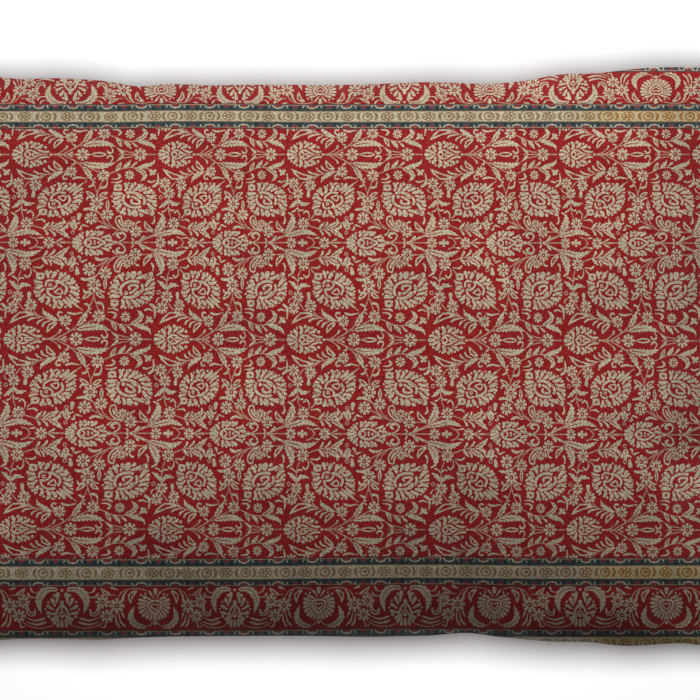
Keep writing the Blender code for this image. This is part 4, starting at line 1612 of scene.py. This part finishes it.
def blend(tree, factor, first, second):
    """One colour turning into another as the factor rises from 0 to 1."""
    return add_node(tree, "Mix", {0: factor, 4: first, 5: second}, data_type="VECTOR").outputs[1]


def bump(tree, height, strength, depth, **more):
    inputs = {"Height": height, "Strength": strength, "Distance": depth, **more}
    return add_node(tree, "Bump", inputs).outputs["Normal"]


def weave_material(name, colour, right_colour, through, share):
    """Woven cloth: threads one over the other, flecked and a little worn in its colour, with painted shade
    and light over it.
    """
    material = bpy.data.materials.new(name)
    material.use_nodes = True
    tree = material.node_tree
    at = add_node(tree, "TexCoord", {}).outputs["Object"]
    axes = add_node(tree, "SeparateXYZ", {"Vector": at}).outputs

    weave = combine(tree, "MAXIMUM", threads(tree, at, "X"), threads(tree, at, "Y"))
    diagonal = combine(tree, "MULTIPLY", axes["X"], axes["Y"])
    shades = [noise(tree, at, *WEAR)]
    # painted shade: the colour darkens towards the far edge and towards the near edge
    shades += [spread(tree, axes[axis], *run) for axis, *run in PAINTED_SHADE_ALONG_Y]
    # painted light and shade: lighter towards two opposite corners, darker towards the other two
    shades.append(combine(tree, "ADD", combine(tree, "MULTIPLY", diagonal, PAINTED_SHADE_DIAGONAL), 1.0))
    shades.append(spread(tree, weave, 0.0, 1.0, *THREAD_SHADES))
    shade = noise(tree, at, *FLECK)
    for factor in shades:
        shade = combine(tree, "MULTIPLY", shade, factor)

    if right_colour != colour:
        axis, *run = TURNS
        colour = blend(tree, spread(tree, axes[axis], *run), colour, right_colour)
    showing = noise(tree, at, SHOW_SCALE, SHOW_DETAIL, SHOW_NONE * share, share, SHOW_CUT)
    tint = blend(tree, showing, colour, through)
    tint = add_node(tree, "VectorMath", {0: tint, "Scale": shade}, operation="SCALE").outputs["Vector"]

    woven = bump(tree, weave, *THREAD_BUMP)
    normal = bump(tree, noise(tree, at, *FOLDS), *FOLD_BUMP, Normal=woven)
    finish = {"Base Color": tint, "Roughness": noise(tree, at, *ROUGHNESS), "Normal": normal, **FINISH}
    fill_inputs(tree, tree.nodes["Principled BSDF"], finish)
    return material


def dress(cover):
    """Give the cover a material for each colour of the print, and one for its back."""
    for slot in sorted(COLOURS):
        name, colour = COLOURS[slot]
        other, share = SHOWS[slot]
        tones = [linear(rgb) for rgb in (colour, RIGHT_COLOURS.get(slot, colour), COLOURS[other][1])]
        cover.data.materials.append(weave_material(name, *tones, share))


cover = make_cover()
dress(cover)
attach(cover, "root")
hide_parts("pillow")


# Floor, light and camera. The key lamp lights the pillow from its far side; a lamp overhead
# lights the floor, so that only a soft shadow lies round the pillow
FLOOR_SIZE = 8.0
FLOOR_FINISH = {"Base Color": (0.93, 0.93, 0.93, 1.0), "Roughness": 0.9, "Specular IOR Level": 0.1}
SKY_STRENGTH = 0.07
# Columns: name, power, diameter, place, what it lights
LAMPS = (
    ("key", 101.0, 1.4, (0.0, 2.20, 2.21), "pillow"),
    ("overhead", 12.4, 0.54, (0.01, 0.055, 1.00), "floor"),
)


def make_floor():
    half = FLOOR_SIZE / 2
    mesh = bpy.data.meshes.new("floor")
    corners = [(x * half, y * half, 0.0) for x, y in ((-1, -1), (1, -1), (1, 1), (-1, 1))]
    mesh.from_pydata(corners, [], [(0, 1, 2, 3)])
    floor = bpy.data.objects.new("floor", mesh)
    bpy.context.scene.collection.objects.link(floor)
    material = bpy.data.materials.new("floor")
    material.use_nodes = True
    fill_inputs(material.node_tree, material.node_tree.nodes["Principled BSDF"], FLOOR_FINISH)
    mesh.materials.append(material)
    return floor


def make_lamp(name, power, size, at, lit):
    lamp = bpy.data.lights.new(name, "AREA")
    lamp.energy = power
    lamp.shape = "DISK"
    lamp.size = size
    holder = bpy.data.objects.new(name, lamp)
    holder.location = at
    aim = Vector((0.0, 0.0, SEAM_HEIGHT)) - Vector(at)
    holder.rotation_mode = "QUATERNION"
    holder.rotation_quaternion = aim.to_track_quat("-Z", "Y")
    holder.visible_camera = False
    bpy.context.scene.collection.objects.link(holder)
    receivers = bpy.data.collections.new(name + "_lights")
    receivers.objects.link(lit)
    holder.light_linking.receiver_collection = receivers


def make_sky():
    world = bpy.data.worlds.new("studio")
    world.use_nodes = True
    sky = world.node_tree.nodes["Background"]
    sky.inputs["Color"].default_value = (1.0, 1.0, 1.0, 1.0)
    sky.inputs["Strength"].default_value = SKY_STRENGTH
    bpy.context.scene.world = world


def make_camera():
    data = bpy.data.cameras.new("camera")
    data.lens = CAMERA_LENS
    data.sensor_width = CAMERA_SENSOR
    data.clip_end = 20.0
    camera = bpy.data.objects.new("camera", data)
    middle_x, middle_y = middle_of_plan()
    camera.location = (CAMERA_AIM[0] - middle_x, CAMERA_AIM[1] - middle_y, SEAM_HEIGHT + CAMERA_DISTANCE)
    bpy.context.scene.collection.objects.link(camera)
    bpy.context.scene.camera = camera


lit = {"pillow": cover, "floor": make_floor()}
for name, power, size, at, what in LAMPS:
    make_lamp(name, power, size, at, lit[what])
make_sky()
make_camera()
bpy.context.scene.view_settings.view_transform = "Standard"
